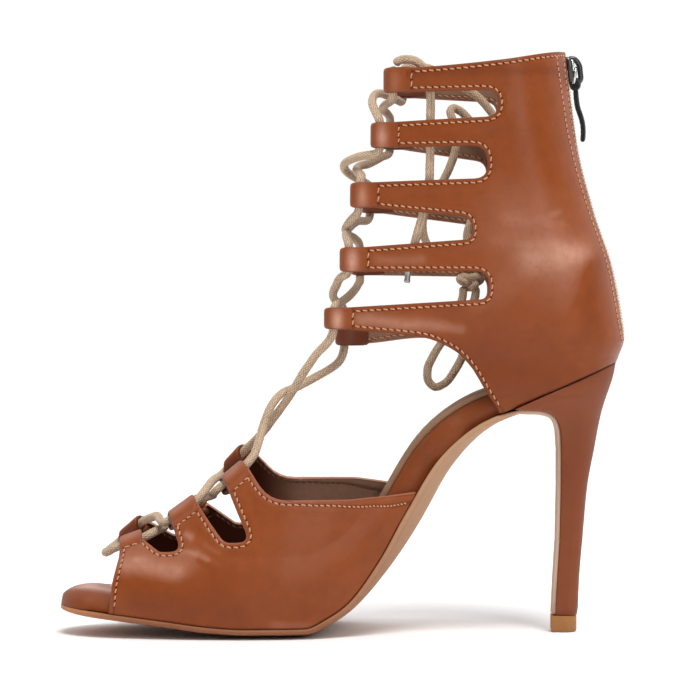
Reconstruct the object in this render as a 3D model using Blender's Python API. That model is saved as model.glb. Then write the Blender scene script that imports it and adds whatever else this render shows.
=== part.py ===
"""Open-toed lace-up dance shoe for the right foot, with a stiletto heel and a zip up the back.

Toe towards -X, heel towards +X, the foot's inner side towards -Y, floor at z = 0.
Tables and functions work in millimetres, and every mesh is scaled to metres as it is made.
"""

import math

import bmesh
import bpy
import numpy as np

# ---------------------------------------------------------------- driving sizes, in millimetres
MM = 0.001
GAP = 0.3  # clearance between pieces that touch
LEATHER = 1.6  # upper leather with its lining
OUTSOLE_EDGE = 2.1  # thickness of the outsole at its edge
SOCK_THICK = 1.2
SOCK_INSET = 3.4  # the sock stops this far inside the footbed's edge
SOCK_FRONT = -76.0  # x where the sock begins, under the toes
TOE_ROUND = 25.0  # length of the rounded toe end
SEAT_ROUND = 26.0  # length of the rounded seat end
SECTIONS = (-66, -53, -40, -28, -18, -11, -5, 0, 5, 10, 15, 20, 25, 30, 35, 41, 48, 57, 66)  # x
BREAST_X = 57.0  # x where the outsole leaves the footbed for the heel's front
BREAST_SHARE = 0.84  # half width of the flap on the heel's front, of the heel's own
TIP_TOP = 6.7  # height of the heel's top piece
FOLD = 10.5  # a strap's leather folds back this far, and the lace runs in the fold
LACE = 3.1  # lace diameter
COLLAR_PINCH = 0.28  # how much narrower the shaft is at its open front
SHAFT_TURN = 0.06  # the shaft and heel turn outwards, in mm of y for each mm of x
SEAT_MID_X = 80.0  # x where the middle line of the heel crosses y = 0
OUTER_RAISE = 3.5  # the topline of the vamp is higher on its outer side
OUTER_APEX = 6.0  # as is its cross-section
OUTER_BACK = 3.0  # the outer straps end further back
OUTER_DROOP = 6.5  # the lowest outer strap hangs lower at its end
ZIP_SLOT = 3.2  # half the width of the slot up the back
ZIP_FOOT = 108.0  # height of the slot's lower end

# A row for each station of the footbed, toe to heel. x, z: top of the outsole on its middle
# line. inner, outer: half widths. mid: y of the middle line. lift: how far the edges curl up.
# belly: how far the middle of the underside bulges. board: thickness of the footbed.
SOLE_COLUMNS = ("x", "z", "inner", "outer", "mid", "lift", "belly", "board")
SOLE = {
    "toe tip": (-103.3, 10.6, 23.5, 23.5, -8.5, 0.2, 0.0, 7.4),
    "toe": (-92.0, 9.0, 25.0, 25.5, -7.3, 0.7, 0.0, 7.7),
    "toe root": (-80.0, 7.6, 28.5, 29.5, -5.7, 0.9, 0.0, 7.5),
    "front of joint": (-64.0, 5.7, 33.5, 34.5, -3.4, 1.0, 0.2, 6.0),
    "tread front": (-46.0, 3.3, 36.8, 37.5, -1.4, 1.2, 0.4, 5.2),
    "ball front": (-34.0, 2.6, 37.6, 38.4, -0.4, 1.2, 0.5, 5.2),
    "ball": (-22.0, 2.6, 37.2, 38.4, 0.4, 1.2, 0.5, 5.4),
    "tread back": (-12.0, 2.6, 35.4, 37.2, 1.0, 1.2, 0.5, 5.8),
    "waist front": (-4.0, 6.2, 33.0, 35.0, 1.4, 1.0, 0.4, 6.4),
    "waist rise": (3.0, 11.2, 30.4, 32.6, 1.8, 0.7, 0.6, 7.0),
    "arch foot": (14.0, 26.0, 26.0, 29.0, 2.4, 0.4, 2.2, 8.2),
    "arch": (24.5, 45.2, 22.6, 25.6, 2.8, 0.2, 4.0, 9.0),
    "arch top": (37.0, 65.3, 21.2, 23.6, 2.6, 0.1, 3.3, 9.0),
    "waist back": (50.0, 76.7, 22.0, 23.2, 1.8, 0.0, 1.6, 8.4),
    "seat front": (62.4, 82.8, 23.9, 24.2, 1.1, 0.0, 0.4, 7.4),
    "seat": (80.0, 90.8, 26.0, 26.0, 0.0, 0.0, 0.0, 7.0),
    "seat back": (101.4, 100.1, 26.4, 26.4, -1.3, 0.0, 0.0, 6.5),
}

# A row for each section of the heel, seat to tip. The front point lies on the breast.
HEEL_COLUMNS = ("front_x", "front_z", "back_x", "back_z", "half", "round")
HEEL = {
    "seat": (63.4, 82.7, 101.2, 99.7, 25.9, 0.68),
    "under seat": (67.5, 82.5, 100.3, 95.0, 25.0, 0.65),
    "bowl": (72.5, 82.3, 98.9, 90.5, 22.8, 0.6),
    "bowl foot": (76.6, 81.1, 97.3, 85.8, 19.4, 0.56),
    "neck top": (79.2, 78.5, 95.8, 80.6, 15.8, 0.53),
    "neck": (80.5, 74.5, 94.6, 75.0, 12.6, 0.5),
    "neck foot": (80.9, 67.5, 93.3, 67.7, 9.8, 0.5),
    "stem top": (80.9, 54.0, 90.8, 54.0, 7.3, 0.5),
    "stem": (80.5, 34.0, 89.0, 34.0, 5.8, 0.5),
    "stem foot": (79.6, 19.5, 87.8, 19.5, 5.3, 0.5),
    "tip": (79.0, 7.0, 87.3, 7.0, 5.1, 0.5),
}

# A row for each height of the shaft: x of the back line, half width, x of the strap ends.
SHAFT_COLUMNS = ("z", "back", "half", "front")
SHAFT = {
    "under seat": (78.0, 100.4, 22.6, -7.5),
    "seat front": (84.0, 100.6, 24.2, -7.5),
    "seat": (92.0, 100.9, 26.2, -7.5),
    "seat back": (100.0, 101.5, 26.6, -7.5),
    "counter": (108.0, 104.0, 27.6, -7.5),
    "heel bone": (116.0, 103.0, 28.6, -7.0),
    "ankle": (135.0, 99.4, 30.0, -1.5),
    "above ankle": (154.0, 93.2, 30.6, 3.0),
    "tendon": (178.0, 87.0, 31.0, 10.5),
    "under collar": (198.0, 84.2, 31.2, 14.8),
    "collar": (216.0, 82.2, 31.6, 16.5),
}

# Lower edge of the quarters in front of the seat, and the collar line, as heights over x.
QUARTER_FOOT = {
    "strap end": (-8.0, 112.6),
    "strap middle": (12.0, 110.8),
    "strap root": (30.0, 108.9),
    "curve top": (41.5, 104.2),
    "curve": (48.0, 97.8),
    "curve foot": (53.0, 89.4),
    "point": (58.0, 81.7),
}
COLLAR = {
    "strap end": (0.0, 206.2),
    "strap": (30.0, 207.0),
    "side": (58.0, 209.2),
    "back": (84.0, 213.8),
}

# A row for each strap of the shaft, top to bottom: x of its end, heights of its edges there.
STRAPS = {
    "strap_1": {"end": 14.8, "low": 197.6, "high": 206.6},
    "strap_2": {"end": 10.1, "low": 176.9, "high": 185.9},
    "strap_3": {"end": 2.7, "low": 155.7, "high": 164.3},
    "strap_4": {"end": -1.0, "low": 132.6, "high": 140.9},
    "strap_5": {"end": -6.7, "low": 112.5, "high": 119.1},
}
# A row for each gap between two straps: x of its closed end, edge heights and corner radii there,
# and how much lower its upper edge lies on the outer side.
GAP_COLUMNS = ("rear", "high", "low", "high_round", "low_round", "outer_drop")
GAPS = {
    "gap_1": (57.4, 198.2, 188.9, 4.6, 4.4, 2.6),
    "gap_2": (53.5, 178.2, 166.6, 5.4, 4.6, 3.6),
    "gap_3": (47.9, 152.4, 144.6, 5.0, 2.6, 1.6),
    "gap_4": (53.9, 132.8, 122.9, 5.6, 3.2, 0.8),
}

# Height over the sole's edge at which the forefoot's cross-section would close, over x.
VAMP_APEX = {
    "toe": (-92.0, 25.0),
    "tab a": (-78.0, 30.5),
    "tab b": (-59.0, 44.5),
    "tab c": (-39.5, 61.0),
    "instep": (-25.0, 74.0),
    "waist": (0.0, 84.0),
    "arch": (30.0, 84.0),
}
# A row for each lace tab of the vamp: the front and rear corner of its fold, in x and z, first on
# the inner side and then on the outer one.
TABS = {
    "tab_a": ((-81.3, 36.5), (-73.0, 39.6), (-84.4, 36.9), (-77.4, 42.8)),
    "tab_b": ((-64.0, 45.5), (-54.9, 52.0), (-64.6, 45.0), (-55.8, 50.6)),
    "tab_c": ((-45.0, 58.2), (-37.6, 64.4), (-45.7, 62.5), (-39.9, 68.6)),
}
# The vamp's other corners: x, z and the radius that rounds each.
VAMP_FRONT = {"foot": (-83.6, 4.0, 0.0), "shin": (-82.2, 20.0, 8.0), "throat": (-80.2, 29.5, 6.0)}
VAMP_NOTCHES = {
    "between a and b": ((-67.9, 30.4, 3.6), (-58.3, 30.8, 4.6)),
    "between b and c": ((-43.7, 34.0, 4.2), (-32.6, 34.1, 4.6)),
}
VAMP_TOPLINE = {"scoop": (-25.0, 50.2, 13.0), "side": (4.0, 50.2, 30.0), "point": (27.5, 52.4, 0.0)}

# Route of the lace over each gap, from the toe upwards: first the strand that runs to the inner
# side's next hole, then the other one. A row is a point's x, y and z.
CROSSINGS = {
    "a to b": (
        ((-71.0, 1.0, 41.6), (-68.0, -6.0, 42.8)),
        ((-67.9, -11.0, 37.6), (-66.6, 2.0, 37.8))),
    "b to c": (
        ((-51.4, 10.0, 48.6), (-48.2, 0.0, 50.0)),
        ((-49.4, -8.0, 53.4), (-47.9, 1.0, 55.6))),
    "c to strap 5": (
        ((-32.9, 7.0, 70.0), (-28.4, 2.6, 74.8), (-25.0, 2.2, 79.4), (-21.3, 1.0, 84.2),
         (-18.1, -2.2, 88.9), (-14.6, -5.5, 94.7), (-9.4, -9.5, 102.2)),
        ((-31.8, -10.5, 65.8), (-30.3, -6.5, 70.6), (-29.4, -3.2, 74.8), (-28.0, -2.2, 79.0),
         (-26.0, -1.8, 83.6), (-22.6, 0.4, 87.8), (-17.5, 3.0, 89.9), (-12.7, 7.0, 92.4),
         (-7.0, 12.0, 95.5), (-1.8, 17.5, 99.2))),
    "strap 5 to 4": (
        ((-1.6, 15.0, 118.6), (-3.4, 5.0, 122.4), (-3.4, -4.0, 126.0), (-0.4, -10.5, 129.2)),
        ((-0.4, -8.6, 123.6), (2.5, 0.0, 124.6), (4.8, 10.0, 127.2), (6.0, 18.5, 129.4))),
    "strap 4 to 3": (
        ((3.6, 16.0, 144.4), (0.6, 5.0, 146.0), (1.3, -4.0, 149.0), (4.6, -10.5, 152.2)),
        ((3.5, -9.5, 144.8), (4.8, 2.0, 149.0), (7.4, 14.0, 152.0))),
    "strap 3 to 2": (
        ((5.4, 16.0, 168.0), (1.5, 7.0, 169.2), (-0.5, -2.0, 171.4), (2.5, -8.0, 173.6),
         (8.4, -13.0, 174.6)),
        ((7.2, -10.4, 168.6), (9.0, -2.0, 171.7), (12.4, 8.0, 173.6), (15.4, 17.0, 174.4))),
    "strap 2 to 1": (
        ((16.2, 16.0, 190.4), (14.9, 4.0, 192.6), (16.4, -8.0, 194.2)),
        ((13.0, -11.5, 191.0), (11.5, -6.0, 195.2), (13.0, 1.0, 198.0), (16.4, 10.0, 197.6),
         (19.8, 18.5, 195.8))),
}
TOE_BAR = (-86.8, -8.0, 29.4)  # middle of the lace across the toes
MOUTH = 2.0  # the lace runs this far straight on past a fold
LAST_MOUTH = 0.7  # and this far past the top straps, where its free ends begin
LACE_STEP = 6.6  # spacing of the lace's sections

# Routes of the lace's free cords, from where they leave the straps or the knot.
KNOT = ((42.4, 24.6, 129.4), (45.0, 24.6, 129.6), (50.2, 24.6, 129.6), (52.8, 24.6, 129.8))
KNOT_RADIUS = 3.3
CORDS = {
    "lace_tail_inner": (
        (19.9, -17.2, 208.3), (21.2, -17.2, 209.6), (24.0, -17.4, 210.2), (27.0, -18.0, 209.8),
        (30.0, -19.0, 207.6), (32.3, -20.2, 203.2), (33.0, -21.0, 197.5), (33.0, -21.5, 190.0),
        (32.9, -21.5, 181.0), (32.8, -21.4, 172.0), (32.4, -21.3, 164.0), (30.8, -21.1, 156.0),
        (28.6, -20.6, 148.0), (26.4, -19.6, 140.0), (25.0, -19.3, 134.2)),
    "lace_tail_outer": (
        (22.0, 25.6, 208.3), (22.6, 25.6, 209.7), (27.0, 25.3, 210.6), (32.2, 25.0, 209.8),
        (37.6, 25.2, 207.0), (44.0, 25.6, 203.4), (49.6, 26.0, 199.8), (54.0, 26.4, 195.2),
        (57.4, 26.6, 190.2), (59.4, 26.8, 184.0), (59.6, 26.8, 176.0), (58.0, 26.6, 168.0),
        (54.0, 26.2, 160.5), (49.0, 25.8, 154.2), (46.4, 25.4, 147.6), (46.8, 25.2, 141.0),
        (48.4, 25.0, 133.8)),
    "lace_loop_upper": (
        (44.6, 24.4, 134.9), (38.8, 23.6, 137.6), (33.2, 22.8, 141.0), (30.0, 22.2, 147.0),
        (29.9, 22.0, 153.6), (32.6, 22.0, 160.2), (36.8, 22.0, 166.6), (40.0, 22.0, 173.0),
        (42.0, 22.0, 179.2), (42.6, 22.0, 185.0), (41.0, 22.1, 190.2), (40.0, 23.2, 193.4),
        (41.2, 25.0, 194.8), (43.8, 26.4, 193.8), (47.4, 27.0, 190.2), (51.0, 27.0, 186.2),
        (54.4, 26.2, 181.0), (56.4, 24.4, 175.0), (56.4, 22.4, 167.4), (54.6, 21.2, 158.8),
        (52.8, 20.9, 150.0), (51.8, 21.3, 142.0), (51.6, 22.4, 134.4)),
    "lace_loop_lower": (
        (49.6, 24.6, 125.4), (48.4, 24.4, 119.8), (47.4, 24.0, 113.0), (46.2, 23.6, 106.4),
        (44.2, 23.2, 100.4), (41.2, 22.9, 95.0), (37.9, 22.7, 91.0), (34.4, 22.6, 89.7),
        (31.9, 22.6, 91.8), (31.5, 22.7, 96.2), (33.6, 22.9, 101.4), (37.0, 23.2, 106.8),
        (40.4, 23.6, 112.6), (43.2, 24.0, 119.0), (44.9, 24.3, 125.4)),
}
AGLET = ((24.9, -19.3, 133.6), (24.4, -19.2, 128.8))
AGLET_DIAMETER = 2.4

# Zip up the back: distances outwards from the shaft's back line.
TAPE_HALF = 2.9
TAPE_PROFILE = ((-2.9, -1.3), (2.9, -1.3), (2.9, 0.1), (1.1, 0.1), (1.1, 0.8),
                (-1.1, 0.8), (-1.1, 0.1), (-2.9, 0.1))
TAPE_TOP = 213.0
TAPE_SWELL = 0.8  # the tape stands out further near its foot
# A row for each section of the slider: height, half width, outward reach.
SLIDER = ((202.6, 1.9, 2.3), (203.6, 2.6, 2.6), (207.4, 2.9, 2.6), (210.2, 3.3, 2.6), (211.6, 2.9, 2.3))
BRIDGE = ((1.9, 204.6), (4.6, 205.4), (5.1, 207.2), (5.0, 209.4), (1.9, 210.4))
BRIDGE_RADIUS = 0.6
PULL_AXIS_OUT, PULL_AXIS_Z = 3.55, 207.5  # the pull swings on this line
PULL_FOOT = 200.6
PULL_HALF = 2.3
PULL_RADIUS = 0.5
PULL_CLAMP = (201.0, 197.4)
PULL_CLAMP_RADIUS = 1.2
PULL_CORD = ((87.1, 196.8), (86.8, 194.0), (87.0, 191.0), (87.8, 187.6), (88.4, 184.0), (88.7, 180.6))
PULL_CORD_DIAMETER = 1.7


# ---------------------------------------------------------------- curves through table rows
def smooth(at, xs, ys):
    """Monotone cubic curve through the points (xs, ys), read at the places `at`."""
    at, xs, ys = np.asarray(at, float), np.asarray(xs, float), np.asarray(ys, float)
    step = np.diff(xs)
    slope = np.diff(ys) / step
    tangent = np.zeros_like(ys)
    same_way = slope[:-1] * slope[1:] > 0
    weight_a = 2 * step[1:] + step[:-1]
    weight_b = step[1:] + 2 * step[:-1]
    with np.errstate(divide="ignore", invalid="ignore"):
        mean = (weight_a + weight_b) / (weight_a / slope[:-1] + weight_b / slope[1:])
    tangent[1:-1] = np.where(same_way, mean, 0.0)
    tangent[0], tangent[-1] = slope[0], slope[-1]
    at = np.clip(at, xs[0], xs[-1])
    k = np.clip(np.searchsorted(xs, at, side="right") - 1, 0, len(xs) - 2)
    t = (at - xs[k]) / step[k]
    rise = ys[k] * (2 * t**3 - 3 * t**2 + 1) + ys[k + 1] * (3 * t**2 - 2 * t**3)
    return rise + step[k] * (tangent[k] * (t**3 - 2 * t**2 + t) + tangent[k + 1] * (t**3 - t**2))


def column(table, names, name):
    return np.array([row[names.index(name)] for row in table.values()])


def over(table, at):
    """Value of a two-column table at the places `at` along its first column."""
    rows = np.array(list(table.values()), float)
    return smooth(at, rows[:, 0], rows[:, 1])


def rounded(corners):
    """Outline through corners (x, z, radius), with an arc in place of each corner that has one."""
    out = []
    count = len(corners)
    for i, (x, z, radius) in enumerate(corners):
        here = np.array([x, z])
        if radius <= 0:
            out.append(here)
            continue
        back = np.array(corners[i - 1][:2]) - here
        on = np.array(corners[(i + 1) % count][:2]) - here
        reach_back, reach_on = np.linalg.norm(back), np.linalg.norm(on)
        back, on = back / reach_back, on / reach_on
        turn = math.acos(np.clip(back @ on, -1, 1))
        cut = min(radius / math.tan(turn / 2), 0.48 * reach_back, 0.48 * reach_on)
        for t in np.linspace(0, 1, 5):
            out.append(here + (1 - t) ** 2 * cut * back + t**2 * cut * on)
    return np.array(out)


# ---------------------------------------------------------------- meshes and materials
def material(name, colour, rough, metal=0.0):
    made = bpy.data.materials.new(name)
    made.use_nodes = True
    shader = made.node_tree.nodes["Principled BSDF"]
    shader.inputs["Base Color"].default_value = (*colour, 1.0)
    shader.inputs["Roughness"].default_value = rough
    shader.inputs["Metallic"].default_value = metal
    return made


def add(name, points, faces, finish, crease=40.0):
    """New object from points in millimetres, shaded smooth below the crease angle."""
    mesh = bpy.data.meshes.new(name)
    mesh.from_pydata((np.asarray(points) * MM).tolist(), [], [tuple(map(int, f)) for f in faces])
    mesh.materials.append(finish)
    close_up(mesh)
    mesh.shade_smooth()
    mesh.set_sharp_from_angle(angle=math.radians(crease))
    piece = bpy.data.objects.new(name, mesh)
    bpy.context.scene.collection.objects.link(piece)
    return piece


def close_up(mesh):
    """Flat triangles that all face outwards, as Booleans need them."""
    work = bmesh.new()
    work.from_mesh(mesh)
    bmesh.ops.triangulate(work, faces=work.faces)
    bmesh.ops.recalc_face_normals(work, faces=work.faces)
    if work.calc_volume(signed=True) < 0:
        bmesh.ops.reverse_faces(work, faces=work.faces)
    work.to_mesh(mesh)
    work.free()


def loft(rings):
    """Closed body through rings of equal count, with a cap on each end ring."""
    rings = np.asarray(rings)
    rows, count = rings.shape[:2]
    faces = []
    for i in range(rows - 1):
        for j in range(count):
            k = (j + 1) % count
            a, b = i * count, (i + 1) * count
            faces.append((a + j, a + k, b + k, b + j))
    faces.append(tuple(range(count))[::-1])
    faces.append(tuple(range((rows - 1) * count, rows * count)))
    return rings.reshape(-1, 3), faces


def sheet(outer, inner):
    """Closed body between two grids of the same shape."""
    rows, count = outer.shape[:2]
    layer = rows * count
    faces = []
    for i in range(rows - 1):
        for j in range(count - 1):
            a = i * count + j
            quad = (a, a + 1, a + count + 1, a + count)
            faces += [quad, tuple(layer + k for k in quad[::-1])]
    rim = [j for j in range(count - 1)]
    rim += [i * count + count - 1 for i in range(rows - 1)]
    rim += [(rows - 1) * count + j for j in range(count - 1, 0, -1)]
    rim += [i * count for i in range(rows - 1, 0, -1)]
    for a, b in zip(rim, rim[1:] + rim[:1]):
        faces.append((b, a, layer + a, layer + b))
    return np.concatenate([outer.reshape(-1, 3), inner.reshape(-1, 3)]), faces


def grid_normals(grid, away_from):
    """Unit normals of a grid of points, turned away from the given middle line."""
    along, across = np.gradient(grid, axis=0), np.gradient(grid, axis=1)
    normal = np.cross(along, across)
    normal /= np.linalg.norm(normal, axis=2, keepdims=True)
    inwards = (normal * (grid - away_from)).sum(axis=2) < 0
    normal[inwards] *= -1
    return normal


def tube(points, radius, sides=8):
    """Rings of a round cord along points, with a frame that does not twist."""
    points = np.asarray(points, float)
    heading = np.gradient(points, axis=0)
    heading /= np.linalg.norm(heading, axis=1, keepdims=True)
    side = np.cross(heading[0], (0.3, 0.2, 1.0))
    rings = []
    for place, way in zip(points, heading):
        side = side - way * (side @ way)
        side /= np.linalg.norm(side)
        up = np.cross(way, side)
        turn = np.arange(sides) * 2 * math.pi / sides
        rings.append(place + radius * (np.outer(np.cos(turn), side) + np.outer(np.sin(turn), up)))
    return loft(rings)


def prism(name, outline, y_from, y_to):
    """Hidden cutter: an outline in x and z drawn from one y to another."""
    ends = [np.column_stack([outline[:, 0], np.full(len(outline), y), outline[:, 1]])
            for y in (y_from, y_to)]
    return cutter(add(name, *loft(ends), FINISH["cutter"]))


def cutter(piece):
    piece.hide_render = True
    piece.display_type = "WIRE"
    return piece


def combine(piece, other, operation):
    made = piece.modifiers.new(other.name, "BOOLEAN")
    made.operation = operation
    made.solver = "EXACT"
    made.object = other


# ---------------------------------------------------------------- the footbed's line
def foot_line():
    """The footbed's middle line as fine rows: path length, then each column of SOLE."""
    rows = np.array(list(SOLE.values()), float)
    knots = np.concatenate([[0], np.cumsum(np.hypot(np.diff(rows[:, 0]), np.diff(rows[:, 1])))])
    fine = np.linspace(0, knots[-1], 900)
    columns = {name: smooth(fine, knots, rows[:, i]) for i, name in enumerate(SOLE_COLUMNS)}
    path = np.concatenate([[0], np.cumsum(np.hypot(np.diff(columns["x"]), np.diff(columns["z"])))])
    columns["path"] = path
    return columns


LINE = foot_line()
LENGTH = LINE["path"][-1]


def on_line(name, path):
    return np.interp(path, LINE["path"], LINE[name])


def path_at(x):
    return np.interp(x, LINE["x"], LINE["path"])


def line_frame(path):
    """Point, forward direction and upward normal of the middle line, in x and z."""
    x, z = on_line("x", path), on_line("z", path)
    step = 0.8
    dx = on_line("x", path + step) - on_line("x", path - step)
    dz = on_line("z", path + step) - on_line("z", path - step)
    size = np.hypot(dx, dz)
    return x, z, dx / size, dz / size


def end_round(distance, reach, power=2.2):
    """0 at a rounded end, 1 past its reach."""
    share = np.clip(1 - distance / reach, 0, 1)
    return (1 - share**power) ** (1 / power)


def half_widths(path, seat_cut=0.0):
    """Inner and outer half widths at a path length; seat_cut shortens the rounded seat."""
    toe = end_round(path, TOE_ROUND)
    seat = end_round(LINE["x"][-1] - seat_cut - on_line("x", path), SEAT_ROUND)
    return on_line("inner", path) * toe * seat, on_line("outer", path) * toe * seat


def ramp(x, start, stop):
    """0 before start, 1 after stop, with a soft step between them."""
    t = np.clip((x - start) / (stop - start), 0, 1)
    return t * t * (3 - 2 * t)


def covered(x):
    """1 where the vamp or the quarters wrap the footbed's side, else 0."""
    vamp = ramp(x, -95, -89) * (1 - ramp(x, 33, 38))
    return vamp + ramp(x, 43, 49)


def sections_between(start, stop):
    """The sections that the sole's pieces share, as path lengths."""
    path = path_at(np.array(SECTIONS, float))
    return list(path[(path > start + 2) & (path < stop - 2)])


def stations(stop, seat_steps):
    """Path lengths of the sections up to `stop`, closer together towards rounded ends."""
    out = [TOE_ROUND * (1 - math.cos(a)) for a in np.linspace(0.11, math.pi / 2, 6)]
    last = stop - SEAT_ROUND if seat_steps else stop
    out += sections_between(TOE_ROUND, last) + [last]
    turn = np.linspace(math.pi / 2, 0.11, seat_steps)[1:]
    return np.array(out + [stop - SEAT_ROUND * (1 - math.cos(a)) for a in turn])


def section_points(path, shares, heights, inset=0.0, seat_cut=0.0):
    """Points of a section at a path length, from shares of the half width and normal heights."""
    x, z, fore, rise = line_frame(path)
    inner, outer = half_widths(path, seat_cut)
    half = np.where(shares < 0, inner, outer)
    half = np.maximum(half - inset, 0.6 * half)
    lift = on_line("lift", path) * np.abs(shares) ** 4
    up = heights + lift
    y = on_line("mid", path) + shares * half
    return np.column_stack([x - rise * up, y, z + fore * up])


# ---------------------------------------------------------------- outsole, footbed, sock
OUTSOLE_SHARES = np.array([-1.0, -0.9, -0.65, -0.3, 0.3, 0.65, 0.9, 1.0])


def outsole_rings():
    top = np.array([-1.0, -0.7, 0.7, 1.0])
    rings = []
    for path in stations(path_at(BREAST_X), 0):
        under = OUTSOLE_SHARES
        slope = np.clip((np.abs(under) - 0.3) / 0.6, 0, 1)
        depth = OUTSOLE_EDGE * (0.45 + 0.55 * end_round(path, 12, 2.0)) + on_line("belly", path) * (1 - slope**2)
        depth = np.where(np.abs(under) > 0.99, 0.55 * depth, depth)
        low = section_points(path, under, -depth)
        high = section_points(path, top, np.zeros(len(top)))
        rings.append(np.concatenate([low, high[::-1]]))
    return rings + breast_flap_rings(len(OUTSOLE_SHARES), top)


def breast_flap_rings(under_count, top):
    """The outsole's tail: it runs below the seat and down the front of the heel."""
    rings = []
    for row in heel_rows()[1:]:
        point, normal, half = row["front"], row["normal"], row["half"] * BREAST_SHARE
        mid = centre_y(point[0])
        low_y = mid + half * OUTSOLE_SHARES
        high_y = mid + half * top
        low = np.column_stack([np.full(under_count, point[0]), low_y, np.full(under_count, point[1])])
        low[:, [0, 2]] -= normal * np.where(np.abs(OUTSOLE_SHARES) > 0.99, 1.1, 1.9)[:, None]
        high = np.column_stack([np.full(len(top), point[0]), high_y, np.full(len(top), point[1])])
        rings.append(np.concatenate([low, high[::-1]]))
    return rings


def footbed_rings():
    under = np.array([-1.0, -0.7, 0.7, 1.0])
    rings = []
    tucked = LEATHER + 3 * GAP
    for path in stations(path_at(LINE["x"][-1] - tucked), 6):
        thick = on_line("board", path) * (0.4 + 0.6 * end_round(path, 8, 2.0))
        soft = min(0.72 * thick, 4.6)
        inset = tucked * covered(on_line("x", path))
        low = section_points(path, under, np.full(4, GAP), inset, tucked)
        inner, outer = half_widths(path)
        shares, heights = [], []
        for turn in np.linspace(0, math.pi / 2, 4):
            shares.append(1 - min(soft / max(outer, 1), 0.5) * (1 - math.cos(turn)))
            heights.append(thick - soft * (1 - math.sin(turn)) + GAP)
        shares = np.array(shares + [0.35])
        heights = np.array(heights + [thick + GAP])
        right = section_points(path, shares, heights, inset, tucked)
        left = section_points(path, -shares, heights, inset, tucked)
        rings.append(np.concatenate([low, right, left[::-1]]))
    return rings


def sock_rings():
    """The tan sock: a thin pad on the footbed, inside its rounded edge."""
    start = path_at(SOCK_FRONT)
    reach = LENGTH - 7.0 - start
    shares = np.array([-1.0, -0.5, 0.5, 1.0])
    rings = []
    turn = np.linspace(0.12, 1, 4)
    places = list(start + 16 * (1 - np.cos(turn * math.pi / 2)))
    places += sections_between(start + 16, start + reach - 16)
    places += list(start + reach - 16 * (1 - np.cos(turn[::-1] * math.pi / 2)))
    for path in places:
        board = on_line("board", path)
        inset = (LEATHER + 2 * GAP) * covered(on_line("x", path)) + SOCK_INSET
        ends = end_round(path - start, 16) * end_round(start + reach - path, 16)
        base = section_points(path, shares * ends, np.full(4, board + 2 * GAP), inset)
        top = section_points(path, shares[::-1] * ends, np.full(4, board + 2 * GAP + SOCK_THICK), inset)
        rings.append(np.concatenate([base, top]))
    return rings


# ---------------------------------------------------------------- heel
def centre_y(x):
    """Middle line of the heel and the shaft, turned a little outwards of the foot's length."""
    return (SEAT_MID_X - np.asarray(x)) * SHAFT_TURN


def heel_rows():
    """Sections of the heel, closer together in its bowl, each with the breast's outward normal."""
    rows = np.array(list(HEEL.values()), float)
    index = np.arange(len(rows))
    at = np.concatenate([np.arange(0, 5, 0.5), np.arange(5, len(rows))])
    data = {name: smooth(at, index, rows[:, i]) for i, name in enumerate(HEEL_COLUMNS)}
    front = np.column_stack([data["front_x"], data["front_z"]])
    way = np.gradient(front, axis=0)
    way /= np.linalg.norm(way, axis=1, keepdims=True)
    normal = np.column_stack([-way[:, 1], way[:, 0]])
    out = []
    for i in range(len(at)):
        back = np.array([data["back_x"][i], data["back_z"][i]])
        out.append({"front": front[i], "normal": normal[i], "back": back,
                    "half": data["half"][i], "round": data["round"][i]})
    return out


def heel_section(row, clear):
    """D-shaped section: flat at the breast, round at the back."""
    front = row["front"] + row["normal"] * clear
    span = row["back"] - front
    straight = 1 - row["round"]
    half = [(0.0, 0.4), (0.0, 0.82), (0.02, 0.92), (0.5 * straight, 0.975)]
    half += [(straight + row["round"] * math.sin(a), math.cos(a)) for a in np.linspace(0, 1.45, 5)]
    side = np.array([(0.0, 0.0)] + half + [(1.0, 0.0)])
    loop = np.concatenate([side, side[1:-1][::-1] * (1, -1)])
    x = front[0] + span[0] * loop[:, 0]
    z = front[1] + span[1] * loop[:, 0]
    return np.column_stack([x, centre_y(x) + row["half"] * loop[:, 1], z])


def heel_rings():
    return [heel_section(row, 0.4) for row in heel_rows()]


def tip_rings():
    rows = []
    for z, grow in ((TIP_TOP, 0.0), (1.0, -0.1), (0.0, -0.5)):
        rows.append({"front": np.array([77.0 - grow, z]), "normal": np.array([1.0, 0.0]),
                     "back": np.array([87.4 + grow, z]), "half": 5.3 + grow, "round": 0.5})
    return [heel_section(row, 0.0) for row in rows]


# ---------------------------------------------------------------- shaft
def shaft_column(name, z):
    rows = np.array(list(SHAFT.values()), float)
    return smooth(z, rows[:, 0], rows[:, SHAFT_COLUMNS.index(name)])


def shaft_y(x, z):
    """Half width of the shaft's outer face at x and z: a round back and sides that pinch in front."""
    back, half, front = (shaft_column(name, z) for name in ("back", "half", "front"))
    reach = np.clip(back - x, 0, None)
    rounding = end_round(reach, SEAT_ROUND)
    ahead = np.clip((reach - SEAT_ROUND) / (back - front - SEAT_ROUND), 0, None)
    return half * rounding * (1 - COLLAR_PINCH * ahead**2)


def quarter_foot(x, side):
    seat = np.interp(x, LINE["x"], LINE["z"])
    low = np.where(x > 58.0, seat, over(QUARTER_FOOT, x))
    droop = OUTER_DROOP * (1 - ramp(x, -4, 40)) if side > 0 else 0.0
    return low - droop


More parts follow.
